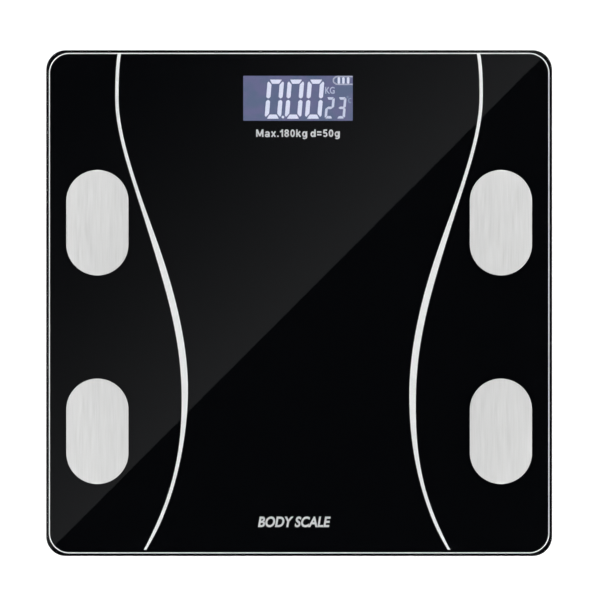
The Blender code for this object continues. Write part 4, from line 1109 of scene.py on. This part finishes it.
def build_floor():
    """A wide pale floor. It is clear from below, so that the underside can be seen."""
    bm = bmesh.new()
    bmesh.ops.create_circle(bm, cap_ends=True, segments=96, radius=4.0)
    mesh = bpy.data.meshes.new("studio_floor")
    bm.to_mesh(mesh)
    bm.free()
    floor = show("studio_floor", mesh)
    material, tree, shader = new_material(
        "matt_white_paper", "#7c7c7c", Roughness=0.9, Specular_IOR_Level=0.0
    )
    drive(tree, shader, "Base Color", mixed(tree, grain(tree, 0.2), "#7b7b7b", "#7d7d7d"))
    shader.inputs["Emission Color"].default_value = hex_colour("#ffffff")
    shader.inputs["Emission Strength"].default_value = FLOOR_GLOW
    back = add(tree, "ShaderNodeNewGeometry").outputs["Backfacing"]
    clear = add(tree, "ShaderNodeBsdfTransparent")
    either = add(tree, "ShaderNodeMixShader", {0: back, 1: shader.outputs[0], 2: clear.outputs[0]})
    output = next(node for node in tree.nodes if node.type == "OUTPUT_MATERIAL")
    tree.links.new(either.outputs[0], output.inputs["Surface"])
    floor.data.materials.append(material)
    floor.visible_shadow = False


def build_sheen_card():
    """A tall soft card above the lens, cut off along the diagonal: the glass mirrors it as a sheen with a
    sharp edge."""
    height = GLASS_HIGH.z + CARD_ABOVE_GLASS
    grow = 1.0 + CARD_ABOVE_GLASS / CAMERA_ABOVE_GLASS
    axis = Vector((*CAMERA_PLACE, height))
    along = Vector((1.0, 1.0, 0.0)).normalized() * 0.75
    away = Vector((-1.0, 1.0, 0.0)).normalized() * CARD_REACH * grow * 1.2
    mesh = bpy.data.meshes.new("sheen_card")
    corners = [axis - along, axis + along, axis + along + away, axis - along + away]
    mesh.from_pydata([tuple(corner) for corner in corners], [], [(0, 3, 2, 1)])
    card = show("sheen_card", mesh)
    material = bpy.data.materials.new("graded_light_card")
    material.use_nodes = True
    tree = material.node_tree
    tree.nodes.clear()
    place = add(tree, "ShaderNodeTexCoord").outputs["Object"]
    here = add(tree, "ShaderNodeVectorMath", {0: place, 1: tuple(axis)}, operation="SUBTRACT").outputs[0]
    unit = tuple(away.normalized())
    distance = add(tree, "ShaderNodeVectorMath", {0: here, 1: unit}, operation="DOT_PRODUCT").outputs["Value"]
    share = ranged(tree, distance, 1.0, 0.0, 0.0, CARD_REACH * grow)
    falling = add(tree, "ShaderNodeMath", {0: share, 1: CARD_FALL}, operation="POWER").outputs[0]
    bright = add(tree, "ShaderNodeMath", {0: falling, 1: CARD_GLOW}, operation="MULTIPLY").outputs[0]
    light = add(tree, "ShaderNodeEmission", {"Color": hex_colour("#fbfdff"), "Strength": bright})
    clear = add(tree, "ShaderNodeBsdfTransparent")
    both = add(tree, "ShaderNodeAddShader", {0: light.outputs[0], 1: clear.outputs[0]})
    add(tree, "ShaderNodeOutputMaterial", {"Surface": both.outputs[0]})
    card.data.materials.append(material)
    for ray in ("camera", "diffuse", "transmission", "volume_scatter", "shadow"):
        setattr(card, f"visible_{ray}", False)


def build_sky():
    """A soft room with a bright ring overhead, dark inside the ring, so that level glass mirrors black."""
    world = bpy.data.worlds.new("studio")
    bpy.context.scene.world = world
    world.use_nodes = True
    tree = world.node_tree
    tree.nodes.clear()
    way = add(tree, "ShaderNodeTexCoord").outputs["Generated"]
    up = add(tree, "ShaderNodeSeparateXYZ", {"Vector": way}).outputs["Z"]
    colour = mixed(tree, ranged(tree, up, 0.0, 1.0, 0.925, 0.97), "#ffffff", "#0f1216")
    low_band = ranged(tree, up, HORIZON_GLOW, SKY_GLOW, 0.12, 0.30)
    ring = ranged(tree, up, 0.0, RING_GLOW, 0.68, 0.80)
    strength = add(tree, "ShaderNodeMath", {0: low_band, 1: ring}, operation="ADD").outputs[0]
    sky = add(tree, "ShaderNodeBackground", {"Color": colour, "Strength": strength})
    add(tree, "ShaderNodeOutputWorld", {"Surface": sky.outputs[0]})


def build_light(name, place, size, power):
    """A rectangular softbox that points at the middle of the scale."""
    lamp = bpy.data.lights.new(name, "AREA")
    lamp.shape = "RECTANGLE"
    lamp.size, lamp.size_y = size
    lamp.energy = power
    obj = bpy.data.objects.new(name, lamp)
    obj.location = place
    obj.rotation_euler = (-Vector(place)).to_track_quat("-Z", "Y").to_euler()
    bpy.context.scene.collection.objects.link(obj)


def build_camera():
    """Straight above the glass."""
    lens = bpy.data.cameras.new("camera")
    lens.lens = LENS_MM
    lens.sensor_width = SENSOR_MM
    lens.clip_start = 0.01
    obj = bpy.data.objects.new("camera", lens)
    obj.location = (*CAMERA_PLACE, GLASS_HIGH.z - CAMERA_DROP + CAMERA_ABOVE_GLASS)
    bpy.context.scene.collection.objects.link(obj)
    bpy.context.scene.camera = obj
    bpy.context.scene.view_settings.view_transform = "Standard"


def main():
    build_camera()
    build_sky()
    build_floor()
    build_sheen_card()
    for name, side in SIDES.items():
        place = (side * SOFTBOX_ASIDE, SOFTBOX_BACK, SOFTBOX_ABOVE)
        build_light(f"softbox_{name}", place, SOFTBOX_SIZE, SOFTBOX_POWER)

    black = moulded_abs("textured_black_abs", "#1a1a1c", "#202022")
    grey = moulded_abs("textured_grey_abs", "#3a3b3e", "#434447")
    build_glass()
    print_black()
    print_silver()
    print_words()
    build_electrodes()
    build_display()
    build_tray(black)
    build_feet(grey, pad_rubber())
    pale = smooth_plastic("pale_pad_print", "#a3a5a7", "#b0b2b4", 0.55)
    build_door(black, pale)
    smooth_copy("unit_button", "unit_button_cap", 30, grey, "unit_button")
    build_underside_marks(pale)
    build_inside(black)
    build_board_parts()


main()
